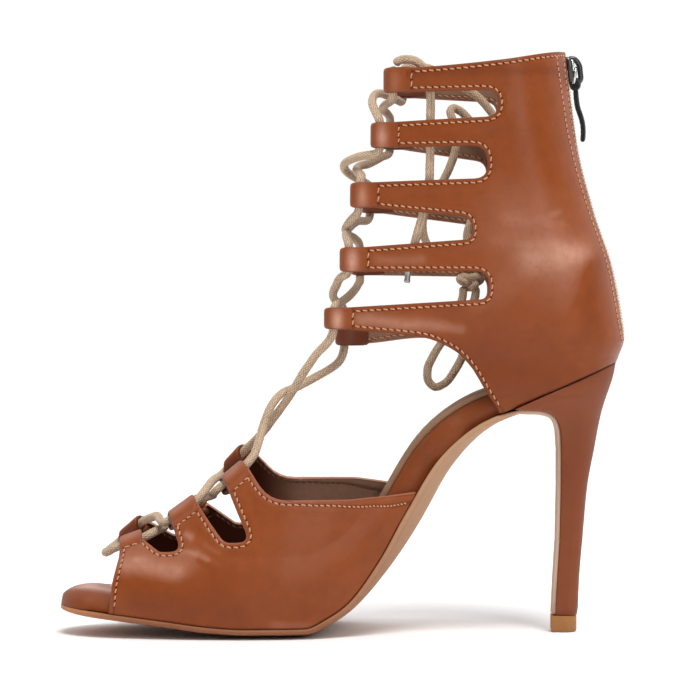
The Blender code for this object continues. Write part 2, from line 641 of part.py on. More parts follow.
def shaft_point(around, height, side):
    """Point of the outer face: `around` is -1 at the back line, 0 where the side begins and 1
    at the front; `height` is 0 at the lower edge and 1 at the collar."""
    z = 150 + 0 * around
    for _ in range(12):
        back, front = shaft_column("back", z), shaft_column("front", z) - 6.0
        turn = np.clip(1 + around, 0, 1) * math.pi / 2
        x = back - SEAT_ROUND * (1 - np.cos(turn))
        x = x - np.clip(around, 0, 1) * (back - SEAT_ROUND - front)
        low = quarter_foot(x, side)
        z = low + height * (over(COLLAR, x) - low)
    return np.stack([x, centre_y(x) + side * shaft_y(x, z), z], axis=-1)


def quarter_shell():
    """Whole shaft from the inner strap ends round the back to the outer ones, before its cuts."""
    around = np.concatenate([np.linspace(-1, 0, 7), np.linspace(0, 1, 9)[1:]])
    around, height = np.meshgrid(around, np.linspace(0, 1, 8))
    inner = shaft_point(around, height, -1)[:, ::-1]
    outer = shaft_point(around, height, 1)[:, 1:]
    face = np.concatenate([inner, outer], axis=1)
    middle = face.copy()
    middle[:, :, 0] = np.minimum(face[:, :, 0], 74.0)
    middle[:, :, 1] = centre_y(face[:, :, 0])
    back = face - LEATHER * grid_normals(face, middle)
    return sheet(face, back)


def strap_end(row, side):
    return row["end"] + (OUTER_BACK if side > 0 else 0.0)


def drooped(x, z, side):
    """Height of an edge of the lowest outer strap, which hangs under its lace."""
    return z - (OUTER_DROOP * (1 - ramp(x, -4, 40)) if side > 0 else 0.0)


def comb_outline(side):
    """Everything in front of the straps and in the gaps between them, as one outline."""
    names = list(STRAPS)[::-1]
    end = strap_end(STRAPS[names[0]], side) + FOLD
    corners = [(-60, 50, 0), (end, 50, 0)]
    for lower, upper, row in zip(names, names[1:], list(GAPS.values())[::-1]):
        gap = dict(zip(GAP_COLUMNS, row))
        high = gap["high"] - (gap["outer_drop"] if side > 0 else 0.0)
        low_end = strap_end(STRAPS[lower], side) + FOLD
        high_end = strap_end(STRAPS[upper], side) + FOLD
        low_z = STRAPS[lower]["high"]
        if lower == names[0]:
            low_z = drooped(low_end, low_z, side)
        corners += [(low_end, low_z, 0), (gap["rear"], gap["low"], gap["low_round"]),
                    (gap["rear"], high, gap["high_round"]),
                    (high_end, STRAPS[upper]["low"], 0)]
    top = strap_end(STRAPS[names[-1]], side) + FOLD
    return rounded(corners + [(top, 240, 0), (-60, 240, 0)])


def behind_strap(row, z, side):
    """Curve along the outer face, from the strap's fold backwards, with its outward normals."""
    x = strap_end(row, side) + np.linspace(0, 16, 33)
    y = centre_y(x) + side * shaft_y(x, np.full_like(x, z))
    return curve_with_normals(np.column_stack([x, y, np.full_like(x, z)]), (0, side, 0))


def curve_with_normals(points, out):
    way = np.gradient(points, axis=0)
    way /= np.linalg.norm(way, axis=1, keepdims=True)
    normal = np.asarray(out, float) - way * (way @ np.asarray(out, float))[:, None]
    normal /= np.linalg.norm(normal, axis=1, keepdims=True)
    run = np.concatenate([[0], np.cumsum(np.linalg.norm(np.diff(points, axis=0), axis=1))])
    return run, points, normal


# ---------------------------------------------------------------- folded ends that hold the lace
# Profile of a folded end: distance behind the fold and height over the leather's outer face,
# first of the leather's outside, then of the tunnel inside it.
FOLD_OUTSIDE = ((15.0, -0.8), (8.0, 0.45), (2.6, 0.15), (0.1, -2.2), (0.3, -4.7),
                (2.8, -6.6), (7.2, -6.1), (15.0, -0.9))
FOLD_TUNNEL = ((9.2, -1.9), (6.2, -0.95), (3.0, -0.85), (1.3, -2.3), (1.4, -4.3),
               (3.2, -5.55), (6.2, -5.05), (8.8, -3.0))
TUNNEL_AXIS = (3.5, -3.2)


def place(curve, profile):
    """Profile points carried on to a curve that starts at the fold."""
    run, points, normal = curve
    behind, above = np.array(profile).T
    at = np.column_stack([np.interp(behind, run, points[:, i]) for i in range(3)])
    out = np.column_stack([np.interp(behind, run, normal[:, i]) for i in range(3)])
    return at + out * above[:, None]


def folded_end(name, curves):
    """Tunnel of leather across a row of curves, as one closed body with a hole along it."""
    count = len(FOLD_OUTSIDE)
    rings = [place(curve, FOLD_OUTSIDE) for curve in curves]
    rings += [place(curve, FOLD_TUNNEL) for curve in curves[::-1]]
    faces = []
    for i in range(len(rings)):
        for j in range(count):
            k = (j + 1) % count
            a, b = i * count, ((i + 1) % len(rings)) * count
            faces.append((a + j, a + k, b + k, b + j))
    return cutter(add(name, np.concatenate(rings), faces, FINISH["leather"]))


def tunnel_axis(curves):
    return [place(curve, [TUNNEL_AXIS])[0] for curve in curves]


def strap_curves(name, side):
    row = STRAPS[name]
    low, high = row["low"], row["high"]
    if name == "strap_5":
        low, high = (drooped(strap_end(row, side), z, side) for z in (low, high))
    return [behind_strap(row, z, side) for z in (low, high)]


# ---------------------------------------------------------------- vamp
def sole_edge(x, side):
    """Height of the outsole's top edge and its half width at x, on one side of the foot."""
    path = np.linspace(0, path_at(BREAST_X), 500)
    px, pz, fore, rise = line_frame(path)
    lift = on_line("lift", path)
    edge_x, edge_z = px - rise * lift, pz + fore * lift
    clear = GAP / np.maximum(fore, 0.35)
    half = half_widths(path)[0 if side < 0 else 1]
    order = np.argsort(edge_x)
    return [np.interp(x, edge_x[order], values[order]) for values in
            (edge_z + clear, half, on_line("mid", path))]


def vamp_face(x, turn, side):
    """Outer face of the vamp: `turn` goes from 0 at the sole's edge towards 90 degrees on top."""
    foot, half, mid = sole_edge(x, side)
    apex = over(VAMP_APEX, x) + (OUTER_APEX if side > 0 else 0.0)
    rise = apex * np.sin(turn) ** 0.85
    bulge = 1.3 * np.sin(np.clip(rise / 26, 0, 1) * math.pi)
    return np.stack([x, mid + side * ((half - 0.3) * np.cos(turn) + bulge), foot + rise], axis=-1)


def vamp_turn(x, z, side):
    """The `turn` at which the vamp's face reaches height z."""
    turns = np.linspace(0, 1.45, 400)
    heights = vamp_face(np.full_like(turns, x), turns, side)[:, 2]
    return np.interp(z, heights, turns)


def below_fold(x, z, lean, side):
    """Curve down the vamp's face from a point of a fold, with its outward normals.

    It moves `lean` along x for each unit of its length.
    """
    turns = np.clip(vamp_turn(x, z, side) - np.linspace(0, 0.75, 60), 0, None)
    plumb = vamp_face(np.full_like(turns, x), turns, side)
    steps = np.linalg.norm(np.diff(plumb, axis=0), axis=1)
    run = np.concatenate([[0], np.cumsum(steps)]) / math.sqrt(1 - lean**2)
    return curve_with_normals(vamp_face(x + lean * run, turns, side), (0, 0.4 * side, 1.0))


def fold_lean(front, rear, side):
    """Share of x in the direction that leaves a fold squarely, as seen from the side."""
    x, z = (front + rear) / 2
    turn = vamp_turn(x, z, side)
    low, high = vamp_face(np.full(2, x), np.array([turn - 0.05, turn]), side)
    steep = (high - low)[2] / np.linalg.norm(high - low)
    slope = (rear - front)[1] / (rear - front)[0] * steep
    return slope / math.hypot(slope, 1)


def moved(x, z, side):
    """A point of the vamp's pattern on one side: the outer side's topline is higher."""
    if side < 0:
        return x, z
    rise = OUTER_RAISE * ramp(x, -40, -25) * (1 - ramp(x, 10, 27))
    return x, z + rise


def tab_curves(name, side):
    front, rear = np.array(TABS[name][:2] if side < 0 else TABS[name][2:])
    lean = fold_lean(front, rear, side)
    return [below_fold(*(front + share * (rear - front)), lean, side) for share in (0, 0.5, 1)]


def tab_foot(name, side):
    """Where a tab's leather ends inside its fold, at the front and at the rear."""
    out = []
    for curve in tab_curves(name, side)[::2]:
        x, _, z = place(curve, [(FOLD, 0.0)])[0]
        out.append((x, z, 0.0))
    return out


def vamp_cut_outline(side):
    """Everything above and in front of the vamp, as one outline."""
    corners = [(-130, -20, 0.0)]
    corners += [(*moved(x, z, side), radius) for x, z, radius in VAMP_FRONT.values()]
    corners += tab_foot("tab_a", side)
    for (left, right), tab in zip(VAMP_NOTCHES.values(), ("tab_b", "tab_c")):
        corners += [(*moved(x, z, side), radius) for x, z, radius in (left, right)]
        corners += tab_foot(tab, side)
    corners += [(*moved(x, z, side), radius) for x, z, radius in VAMP_TOPLINE.values()]
    corners += [(60, 52.4, 0.0), (60, 160, 0.0), (-130, 160, 0.0)]
    return rounded(corners)


def vamp_shell(side):
    x = np.linspace(-93, 29, 19)
    turn = np.radians(np.linspace(0, 74, 7))
    x, turn = np.meshgrid(x, turn)
    face = vamp_face(x, turn, side)
    _, _, mid = sole_edge(x, side)
    middle = np.stack([x, mid, np.full_like(x, -40.0)], axis=-1)
    normal = grid_normals(face, middle)
    normal[0, :, 2] = 0
    normal[0] /= np.linalg.norm(normal[0], axis=1, keepdims=True)
    return sheet(face, face - LEATHER * normal)


# ---------------------------------------------------------------- lace
def flowing(points, step):
    """Smooth curve through the points, with new points about `step` apart between them."""
    points = np.asarray(points, float)
    gaps = np.linalg.norm(np.diff(points, axis=0), axis=1)
    at = np.concatenate([[0], np.cumsum(gaps)])
    speed = np.gradient(points, at, axis=0)
    out = [points[0]]
    for i, gap in enumerate(gaps):
        count = max(1, int(round(gap / step)))
        for t in np.arange(1, count + 1) / count:
            ends = (2 * t**3 - 3 * t**2 + 1) * points[i] + (3 * t**2 - 2 * t**3) * points[i + 1]
            bend = (t**3 - 2 * t**2 + t) * speed[i] + (t**3 - t**2) * speed[i + 1]
            out.append(ends + gap * bend)
    return np.array(out)


def hole(name, side):
    """A fold's axis, in the order in which the lace runs from the toe upwards, with a short
    straight stretch past each mouth."""
    curves = tab_curves(name, side) if name in TABS else strap_curves(name, side)
    axis = tunnel_axis(curves)
    way_in = (axis[1] - axis[0]) / np.linalg.norm(axis[1] - axis[0])
    way_out = (axis[-1] - axis[-2]) / np.linalg.norm(axis[-1] - axis[-2])
    return [axis[0] - MOUTH * way_in, *axis, axis[-1] + MOUTH * way_out]


def strand(side):
    """The lace from the toe bar to a top strap, starting on one side and crossing at each gap."""
    order = list(TABS) + list(STRAPS)[::-1]
    route = hole(order[0], side)
    for name, (to_inner, to_outer) in zip(order[1:], CROSSINGS.values()):
        side = -side
        route += list(to_inner if side < 0 else to_outer)
        route += hole(name, side)
    route[-1] = route[-2] + (0, 0, LAST_MOUTH)
    return route


def make_lace():
    left, right = strand(-1), strand(1)
    route = left[::-1] + [np.array(TOE_BAR)] + right
    add("lace_laced", *tube(flowing(route, LACE_STEP), LACE / 2, 5), FINISH["lace"])
    for name, points in CORDS.items():
        cord(name, points, LACE, FINISH["lace"])
    cord("lace_aglet", AGLET, AGLET_DIAMETER, FINISH["metal"])
    knot = cord("lace_knot", KNOT, 2 * KNOT_RADIUS, FINISH["lace"])
    for point, size in zip(knot.data.splines[0].points, (0.7, 1.0, 1.0, 0.7)):
        point.radius = size


def cord(name, points, diameter, finish):
    """Free cord: a curve with a round bevel and filled ends."""
    line = bpy.data.curves.new(name, "CURVE")
    line.dimensions = "3D"
    line.bevel_depth = diameter / 2 * MM
    line.bevel_resolution = 2
    line.use_fill_caps = True
    spline = line.splines.new("POLY")
    spline.points.add(len(points) - 1)
    for point, place_at in zip(spline.points, points):
        point.co = (*(np.asarray(place_at) * MM), 1.0)
    line.materials.append(finish)
    piece = bpy.data.objects.new(name, line)
    bpy.context.scene.collection.objects.link(piece)
    return piece


# ---------------------------------------------------------------- zip
ZIP_Y = float(centre_y(102.0))


def out_of_back(out, z):
    return shaft_column("back", z) + out


def make_zip():
    rings = []
    for z in np.linspace(ZIP_FOOT + GAP, TAPE_TOP, 14):
        swell = TAPE_SWELL * (1 - ramp(z, 118, 160))
        across, out = np.array(TAPE_PROFILE).T
        x = out_of_back(out + np.where(out > 0, swell, 0), z)
        rings.append(np.column_stack([x, ZIP_Y + across, np.full(len(x), z)]))
    add("zip_tape", *loft(rings), FINISH["tape"])
    slider = add("zip_slider", *loft([slider_section(*row) for row in SLIDER]), FINISH["black"])
    arch = flowing([(out_of_back(out, z), ZIP_Y, z) for out, z in BRIDGE], 2.0)
    bridge = cutter(add("zip_bridge", *tube(arch, BRIDGE_RADIUS, 6), FINISH["black"]))
    combine(slider, bridge, "UNION")
    make_pull()


def slider_section(z, half, out):
    inner, outer = out_of_back(1.1, z), out_of_back(out, z)
    soft = 0.6
    corners = ((inner, -half), (outer - soft, -half), (outer, soft - half),
               (outer, half - soft), (outer - soft, half), (inner, half))
    return np.array([(x, ZIP_Y + y, z) for x, y in corners])


def make_pull():
    """A ring through the slider's bridge, with a clamp below it that holds a cord."""
    hinge = out_of_back(PULL_AXIS_OUT, PULL_AXIS_Z)
    low, high = PULL_FOOT, PULL_AXIS_Z
    corners = [(-PULL_HALF, low, 1.2), (PULL_HALF, low, 1.2),
               (PULL_HALF, high, 0.6), (-PULL_HALF, high, 0.6)]
    loop = np.array([(hinge, ZIP_Y + y, z) for y, z in rounded(corners)])
    pull = add("zip_pull", *closed_tube(loop, PULL_RADIUS, 5), FINISH["black"])
    clamp = tube([(hinge, ZIP_Y, z) for z in PULL_CLAMP], PULL_CLAMP_RADIUS, 8)
    combine(pull, cutter(add("pull_clamp", *clamp, FINISH["black"])), "UNION")
    axle = bpy.data.objects.new("zip_pull_axis", None)
    axle.location = np.array([hinge, ZIP_Y, PULL_AXIS_Z]) * MM
    bpy.context.scene.collection.objects.link(axle)
    ends = [(x, ZIP_Y, z) for x, z in PULL_CORD]
    for piece in (pull, cord("zip_pull_cord", ends, PULL_CORD_DIAMETER, FINISH["black"])):
        piece.parent = axle
        piece.location = -axle.location


def closed_tube(points, radius, sides):
    """Faces of a tube whose end meets its start."""
    points = np.asarray(points)
    rings = []
    for before, here, after in zip(np.roll(points, 1, 0), points, np.roll(points, -1, 0)):
        way = (after - before) / np.linalg.norm(after - before)
        side = np.array([1.0, 0.0, 0.0])
        up = np.cross(way, side)
        turn = np.arange(sides) * 2 * math.pi / sides
        rings.append(here + radius * (np.outer(np.cos(turn), side) + np.outer(np.sin(turn), up)))
    faces = []
    for i in range(len(points)):
        a, b = i * sides, (i + 1) % len(points) * sides
        for j in range(sides):
            k = (j + 1) % sides
            faces.append((a + j, a + k, b + k, b + j))
    return np.concatenate(rings), faces


# ---------------------------------------------------------------- finishes
bpy.ops.object.select_all(action="DESELECT")
for old in list(bpy.data.objects):
    bpy.data.objects.remove(old)

FINISH = {
    "leather": material("caramel leather", (0.30, 0.085, 0.025), 0.42),
    "sole": material("beige sole", (0.48, 0.27, 0.15), 0.55),
    "tip": material("tan top piece", (0.42, 0.19, 0.07), 0.5),
    "sock": material("tan sock", (0.36, 0.20, 0.11), 0.7),
    "lace": material("cream lace", (0.66, 0.50, 0.36), 0.9),
    "tape": material("cream zip tape", (0.62, 0.46, 0.36), 0.85),
    "metal": material("silver slider", (0.62, 0.62, 0.60), 0.3, 1.0),
    "black": material("black pull", (0.012, 0.012, 0.013), 0.45),
    "cutter": material("cutter", (0.8, 0.1, 0.1), 0.5),
}


# ---------------------------------------------------------------- pieces
def make_sole_unit():
    add("outsole", *loft(outsole_rings()), FINISH["sole"])
    add("footbed", *loft(footbed_rings()), FINISH["leather"])
    add("sock", *loft(sock_rings()), FINISH["sock"])
    add("heel", *loft(heel_rings()), FINISH["leather"])
    add("heel_tip", *loft(tip_rings()), FINISH["tip"])


def make_vamp(name, side):
    piece = add(name, *vamp_shell(side), FINISH["leather"])
    combine(piece, prism(name + "_cut", vamp_cut_outline(side), -80, 80), "DIFFERENCE")
    for tab in TABS:
        combine(piece, folded_end(name + "_" + tab, tab_curves(tab, side)), "UNION")


def make_quarters():
    piece = add("quarters", *quarter_shell(), FINISH["leather"])
    for side, word in ((-1, "inner"), (1, "outer")):
        low, high = sorted((3.0, 3.0 + 60 * side))
        combine(piece, prism("comb_" + word, comb_outline(side), low, high), "DIFFERENCE")
    slot = np.array([(76, ZIP_FOOT), (130, ZIP_FOOT), (130, 230), (76, 230)], float)
    mid = float(centre_y(102))
    combine(piece, prism("zip_slot", slot, mid - ZIP_SLOT, mid + ZIP_SLOT), "DIFFERENCE")
    for side, word in ((-1, "inner"), (1, "outer")):
        for name in STRAPS:
            end = folded_end(f"{name}_{word}", strap_curves(name, side))
            combine(piece, end, "UNION")


make_sole_unit()
make_vamp("vamp_inner", -1)
make_vamp("vamp_outer", 1)
make_quarters()
make_zip()
make_lace()
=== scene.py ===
# %% [markdown]
# # A lace-up dance shoe
# The shoe is one right shoe: an upper of caramel leather on a rounded board, a thin sole, a
# stiletto heel, a cotton lace and a zip up the back. Toe towards -X, the foot's inner side
# towards -Y, floor at z = 0. Tables and functions work in millimetres, and a mesh is scaled to
# metres as it is made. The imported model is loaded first, because every piece rides on it.

# %% Load the frame
import math

import bpy
import numpy as np
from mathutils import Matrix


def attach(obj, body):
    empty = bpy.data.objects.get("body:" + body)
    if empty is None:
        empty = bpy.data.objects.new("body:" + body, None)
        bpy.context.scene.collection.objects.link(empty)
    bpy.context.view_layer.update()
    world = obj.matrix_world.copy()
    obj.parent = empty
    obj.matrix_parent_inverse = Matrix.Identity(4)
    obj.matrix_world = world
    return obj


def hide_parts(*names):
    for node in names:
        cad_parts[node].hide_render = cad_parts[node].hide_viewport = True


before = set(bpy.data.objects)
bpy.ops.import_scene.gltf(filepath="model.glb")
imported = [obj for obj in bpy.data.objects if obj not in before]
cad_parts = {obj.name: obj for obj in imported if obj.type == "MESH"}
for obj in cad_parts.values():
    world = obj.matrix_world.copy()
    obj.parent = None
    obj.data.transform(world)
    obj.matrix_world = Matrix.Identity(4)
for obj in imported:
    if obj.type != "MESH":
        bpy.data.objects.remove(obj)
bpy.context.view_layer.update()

# %% [markdown]
# ## Camera
# A long lens a little above the shoe's middle and slightly round towards the heel, as in a
# catalogue picture. A long lens keeps the heel and the toe at nearly the same scale.

# %% Camera
from mathutils import Vector

CAMERA_AT = (0.0449, -1.1993, 0.124)
CAMERA_TO = (0.003, 0.0, 0.104)


def facing(at, to):
    """Turn of a camera or lamp at one point that looks at another."""
    return (Vector(to) - Vector(at)).to_track_quat("-Z", "Y").to_euler()


scene = bpy.context.scene
lens = bpy.data.cameras.new("catalogue_lens")
lens.lens = 166.6
lens.sensor_width = 36.0
camera = bpy.data.objects.new("catalogue_camera", lens)
camera.location = CAMERA_AT
camera.rotation_euler = facing(CAMERA_AT, CAMERA_TO)
scene.collection.objects.link(camera)
scene.camera = camera
print("camera", CAMERA_AT, "lens", lens.lens)

# %% [markdown]
# ## Sizes
# A few sizes are the pattern maker's and hold for many pieces: the leather's thickness, and where the
# stitches run. The others stand where they are first needed.

# %% Sizes in millimetres
MM = 0.001
GAP = 0.3  # left between two pieces that lie on each other
LEATHER = 1.5
SEAM_IN = 1.9  # stitches run this far inside an edge of the vamp
STRAP_SEAM = 1.55  # and this far inside an edge of the quarters
TUCK = 8.6  # a strap's own leather ends this far inside its folded end
FULL = 2.2  # how full a round corner is: at 2 it is a circle's
SIDES = {"inner": -1, "outer": 1}  # the foot's inner side lies towards -Y
print("leather", LEATHER, "mm, stitches", SEAM_IN, "and", STRAP_SEAM, "mm inside an edge")

# %% [markdown]
# ## Curves and meshes
# Every outline comes from a short table of named rows, and a monotone cubic runs through the
# rows, so a curve never overshoots between two of them. A piece is a grid of points, worked out as
# a whole array, and the faces that join the grid.

# %% Curves through table rows
def smooth(at, xs, ys):
    """Monotone cubic curve through the points (xs, ys), read at the places `at`."""
    at, xs, ys = np.asarray(at, float), np.asarray(xs, float), np.asarray(ys, float)
    step = np.diff(xs)
    slope = np.diff(ys) / step
    tangent = np.zeros_like(ys)
    same_way = slope[:-1] * slope[1:] > 0
    weight_a = 2 * step[1:] + step[:-1]
    weight_b = step[1:] + 2 * step[:-1]
    with np.errstate(divide="ignore", invalid="ignore"):
        mean = (weight_a + weight_b) / (weight_a / slope[:-1] + weight_b / slope[1:])
    tangent[1:-1] = np.where(same_way, mean, 0.0)
    tangent[0], tangent[-1] = slope[0], slope[-1]
    at = np.clip(at, xs[0], xs[-1])
    k = np.clip(np.searchsorted(xs, at, side="right") - 1, 0, len(xs) - 2)
    t = (at - xs[k]) / step[k]
    rise = ys[k] * (2 * t**3 - 3 * t**2 + 1) + ys[k + 1] * (3 * t**2 - 2 * t**3)
    return rise + step[k] * (tangent[k] * (t**3 - 2 * t**2 + t) + tangent[k + 1] * (t**3 - t**2))


def over(table, at, column=1):
    """A column of a table, read at the places `at` along its first column."""
    rows = np.array(list(table.values()), float)
    return smooth(at, rows[:, 0], rows[:, column])


def ramp(x, start, stop):
    """0 before start, 1 after stop, with a soft step between them."""
    t = np.clip((x - start) / (stop - start), 0, 1)
    return t * t * (3 - 2 * t)


def end_round(distance, reach, power=FULL):
    """0 at a rounded end, 1 past its reach."""
    share = np.clip(1 - distance / reach, 0, 1)
    return (1 - share**power) ** (1 / power)


def unit(vectors):
    """Each row at length one."""
    return vectors / np.linalg.norm(vectors, axis=-1, keepdims=True)


def lengths(points):
    """Length along a line from its start to each of its points."""
    return np.concatenate([[0], np.cumsum(np.linalg.norm(np.diff(points, axis=0), axis=1))])


def turns(count):
    """Even angles once round a circle."""
    return np.arange(count) * 2 * math.pi / count


def rounded(corners):
    """Outline through corners (x, z, radius), with an arc in place of each corner that has one."""
    out = []
    count = len(corners)
    for i, (x, z, radius) in enumerate(corners):
        here = np.array([x, z])
        if radius <= 0:
            out.append(here)
            continue
        back = np.array(corners[i - 1][:2]) - here
        on = np.array(corners[(i + 1) % count][:2]) - here
        reach_back, reach_on = np.linalg.norm(back), np.linalg.norm(on)
        back, on = back / reach_back, on / reach_on
        turn = math.acos(np.clip(back @ on, -1, 1))
        cut = min(radius / math.tan(turn / 2), 0.48 * reach_back, 0.48 * reach_on)
        for t in np.linspace(0, 1, 5):
            out.append(here + (1 - t) ** 2 * cut * back + t**2 * cut * on)
    return np.array(out)


print("a ramp half way up:", float(ramp(0.5, 0, 1)))

# %% Grids, pieces and closed bodies
def grid_faces(rows, columns, rows_close=False, columns_close=True):
    """Quads of a grid: point (i, j) joins (i, j+1), (i+1, j+1) and (i+1, j)."""
    i = np.arange(rows if rows_close else rows - 1)[:, None]
    j = np.arange(columns if columns_close else columns - 1)[None]
    below, beside = (i + 1) % rows, (j + 1) % columns
    quads = [i * columns + j, i * columns + beside, below * columns + beside, below * columns + j]
    return np.stack(np.broadcast_arrays(*quads), axis=-1).reshape(-1, 4)


def volume(points, quads):
    """Six times the volume inside a closed mesh of quads: the sum of a . (b x c) over triangles."""
    a, b, c, d = (points[quads[:, k]] for k in range(4))
    return (a * (np.cross(b, c) + np.cross(c, d))).sum()


def piece(name, points, quads, finishes, body="shoe", which=None, facts=None, uv=None, caps=()):
    """New piece that rides on a body: points in millimetres, quads turned to face outwards."""
    points = np.asarray(points, float).reshape(-1, 3)
    turned = volume(points, quads) < 0
    faces = (quads[:, ::-1] if turned else quads).tolist()
    faces += [list(cap)[::-1] if turned else list(cap) for cap in caps]
    mesh = bpy.data.meshes.new(name)
    mesh.from_pydata((points * MM).tolist(), [], faces)
    for finish in finishes:
        mesh.materials.append(finish)
    if which is not None:
        mesh.polygons.foreach_set("material_index", np.asarray(which, np.int32))
    for key, values in (facts or {}).items():
        mesh.attributes.new(key, "FLOAT", "POINT").data.foreach_set("value", np.ravel(values))
    if uv is not None:
        corner = np.empty(len(mesh.loops), np.int32)
        mesh.loops.foreach_get("vertex_index", corner)
        mesh.uv_layers.new(name="weave").data.foreach_set("uv", np.ravel(uv[corner]))
    mesh.shade_smooth()
    made = bpy.data.objects.new(name, mesh)
    scene.collection.objects.link(made)
    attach(made, body)
    print(f"{name}: {len(mesh.vertices)} points, {len(faces)} faces")
    return made


def loft(name, rings, finishes, **more):
    """Closed body through rings of equal count, with a flat cap at each end."""
    rings = np.asarray(rings)
    rows, count = rings.shape[:2]
    caps = [np.arange(count)[::-1], (rows - 1) * count + np.arange(count)]
    return piece(name, rings, grid_faces(rows, count), finishes, caps=caps, **more)


print("a closed grid of 3 rows of 4 points has", len(grid_faces(3, 4)), "quads")

# %% [markdown]
# ## Finishes
# Smooth aniline leather is a warm base colour with cloudy patches, a fine grain that only shows in
# the highlight, and a thin polish over it. The cut edges and the stitch rows are darker. Each
# piece of leather carries facts on its points: its distance to the edge and to the seam, and the
# painted light laid into its colour, painted highlights and painted shade. The finish reads them,
# so an edge line stays crisp on any grid.

# %% Node helpers
def add_node(tree, kind, inputs=None, **settings):
    """A shader node whose inputs are values or other nodes' outputs."""
    made = tree.nodes.new("ShaderNode" + kind)
    for key, value in settings.items():
        setattr(made, key, value)
    for key, value in (inputs or {}).items():
        if isinstance(value, bpy.types.NodeSocket):
            tree.links.new(value, made.inputs[key])
        else:
            made.inputs[key].default_value = value
    return made


def new_finish(name, colour, rough, **sockets):
    """Principled finish with plain values, and its tree and shader to build on."""
    made = bpy.data.materials.new(name)
    made.use_nodes = True
    shader = made.node_tree.nodes["Principled BSDF"]
    shader.inputs["Base Color"].default_value = (*colour, 1.0)
    shader.inputs["Roughness"].default_value = rough
    for key, value in sockets.items():
        shader.inputs[key.replace("_", " ")].default_value = value
    return made, made.node_tree, shader


def noise(tree, scale, detail=3.0, rough=0.5):
    """Cloudy noise over the piece's own place, from 0 to 1."""
    where = add_node(tree, "TexCoord").outputs["Object"]
    return add_node(tree, "TexNoise", {"Vector": where, "Scale": scale, "Detail": detail,
                                       "Roughness": rough}).outputs["Fac"]


def blend(tree, share, low, high):
    """Mix of two colours, each a value or another blend."""
    made = add_node(tree, "Mix", {0: share}, data_type="RGBA")
    for socket, value in ((made.inputs[6], low), (made.inputs[7], high)):
        if isinstance(value, bpy.types.NodeSocket):
            tree.links.new(value, socket)
        else:
            socket.default_value = (*value, 1.0)
    return made.outputs[2]


def stretch(tree, value, start, stop, low=0.0, high=1.0):
    """The range from start to stop carried on to the range from low to high, and held there."""
    return add_node(tree, "MapRange", {0: value, 1: start, 2: stop, 3: low, 4: high}).outputs[0]


def sums(tree, operation, a, b=0.0):
    return add_node(tree, "Math", {0: a, 1: b}, operation=operation).outputs[0]


def times(tree, a, b):
    return sums(tree, "MULTIPLY", a, b)


def srgb(code):
    """Linear colour from a six-digit colour code."""
    parts = np.array([int(code[k:k + 2], 16) for k in (0, 2, 4)]) / 255
    return tuple(np.where(parts <= 0.04045, parts / 12.92, ((parts + 0.055) / 1.055) ** 2.4))


print("a caramel in linear light:", [round(float(v), 3) for v in srgb("8a431a")])

# %% Leather
CROSS_AT = 5.0  # value of the fact "cross" on a row of stitches that crosses a strap or a tab
GROOVE = 0.15  # depth that the thread pulls the leather in


def fact(tree, name):
    return add_node(tree, "Attribute", attribute_name=name).outputs["Fac"]


def groove(tree, name, at):
    """One in the middle of a stitched groove, where a fact has the value `at`, and nothing beside it."""
    off = sums(tree, "ABSOLUTE", sums(tree, "SUBTRACT", fact(tree, name), at))
    return stretch(tree, off, 0.1, 0.55, 1.0, 0.0)


# painted_sheen and depth are the colours of the painted highlights and of the painted shade
def leather(name, colour, dark, light, rough=0.38, facts=True, coat=0.06, painted_sheen="c9957e", depth="65290c"):
    """Cloudy colour from two noises, a fine grain as bump, darker at its edges and seams, with
    painted highlights and painted shade from the fact tone, and a painted highlight on the bead by a stitched
    edge."""
    colour, dark, light, painted_sheen, depth = map(srgb, (colour, dark, light, painted_sheen, depth))
    made, tree, shader = new_finish(name, colour, rough, Coat_Weight=coat, Coat_Roughness=0.3,
                                    Specular_IOR_Level=0.2)
    cloud = stretch(tree, noise(tree, 24.0, 2.0), 0.35, 0.65)
    mottle = stretch(tree, noise(tree, 190.0, 4.0, 0.6), 0.3, 0.7)
    tone = blend(tree, times(tree, cloud, 0.35), colour, light)
    tone = blend(tree, times(tree, mottle, 0.22), tone, dark)
    height = times(tree, noise(tree, 1500.0, 4.0, 0.65), 0.35)
    where = add_node(tree, "TexCoord").outputs["Object"]
    pores = add_node(tree, "TexVoronoi", {"Vector": where, "Scale": 1300.0}).outputs["Distance"]
    height = sums(tree, "ADD", height, times(tree, pores, 0.5))
    bump = add_node(tree, "Bump", {"Strength": 0.05, "Distance": 0.0006, "Height": height})
    if facts:
        # painted highlights where the fact tone is above zero, broken into streaks, and painted shade towards
        # depth below zero
        streaks = stretch(tree, noise(tree, 420.0, 3.0, 0.6), 0.25, 0.6, 0.72, 1.0)
        bright = times(tree, stretch(tree, fact(tree, "tone"), 0.0, 1.0), streaks)
        tone = blend(tree, bright, tone, painted_sheen)
        tone = blend(tree, stretch(tree, fact(tree, "tone"), 0.0, -1.0), tone, depth)
        deep = sums(tree, "MAXIMUM", groove(tree, "seam", SEAM_IN), groove(tree, "cross", CROSS_AT))
        # the bead between a stitched edge and its row is painted lighter: a painted highlight
        bead = stretch(tree, fact(tree, "seam"), 0.4, SEAM_IN - 0.2, 0.3, 0.0)
        tone = blend(tree, bead, tone, light)
        tone = blend(tree, stretch(tree, fact(tree, "edge"), 0.0, 0.5, 0.65, 0.0), tone, dark)
        tone = blend(tree, times(tree, deep, 0.5), tone, dark)
        bump = add_node(tree, "Bump", {"Strength": 1.0, "Distance": GROOVE * MM, "Height": deep,
                                       "Normal": bump.outputs["Normal"]}, invert=True)
    tree.links.new(tone, shader.inputs["Base Color"])
    tree.links.new(bump.outputs["Normal"], shader.inputs["Normal"])
    patchy = stretch(tree, noise(tree, 60.0, 3.0), 0.3, 0.7, rough - 0.05, rough + 0.08)
    tree.links.new(patchy, shader.inputs["Roughness"])
    return made


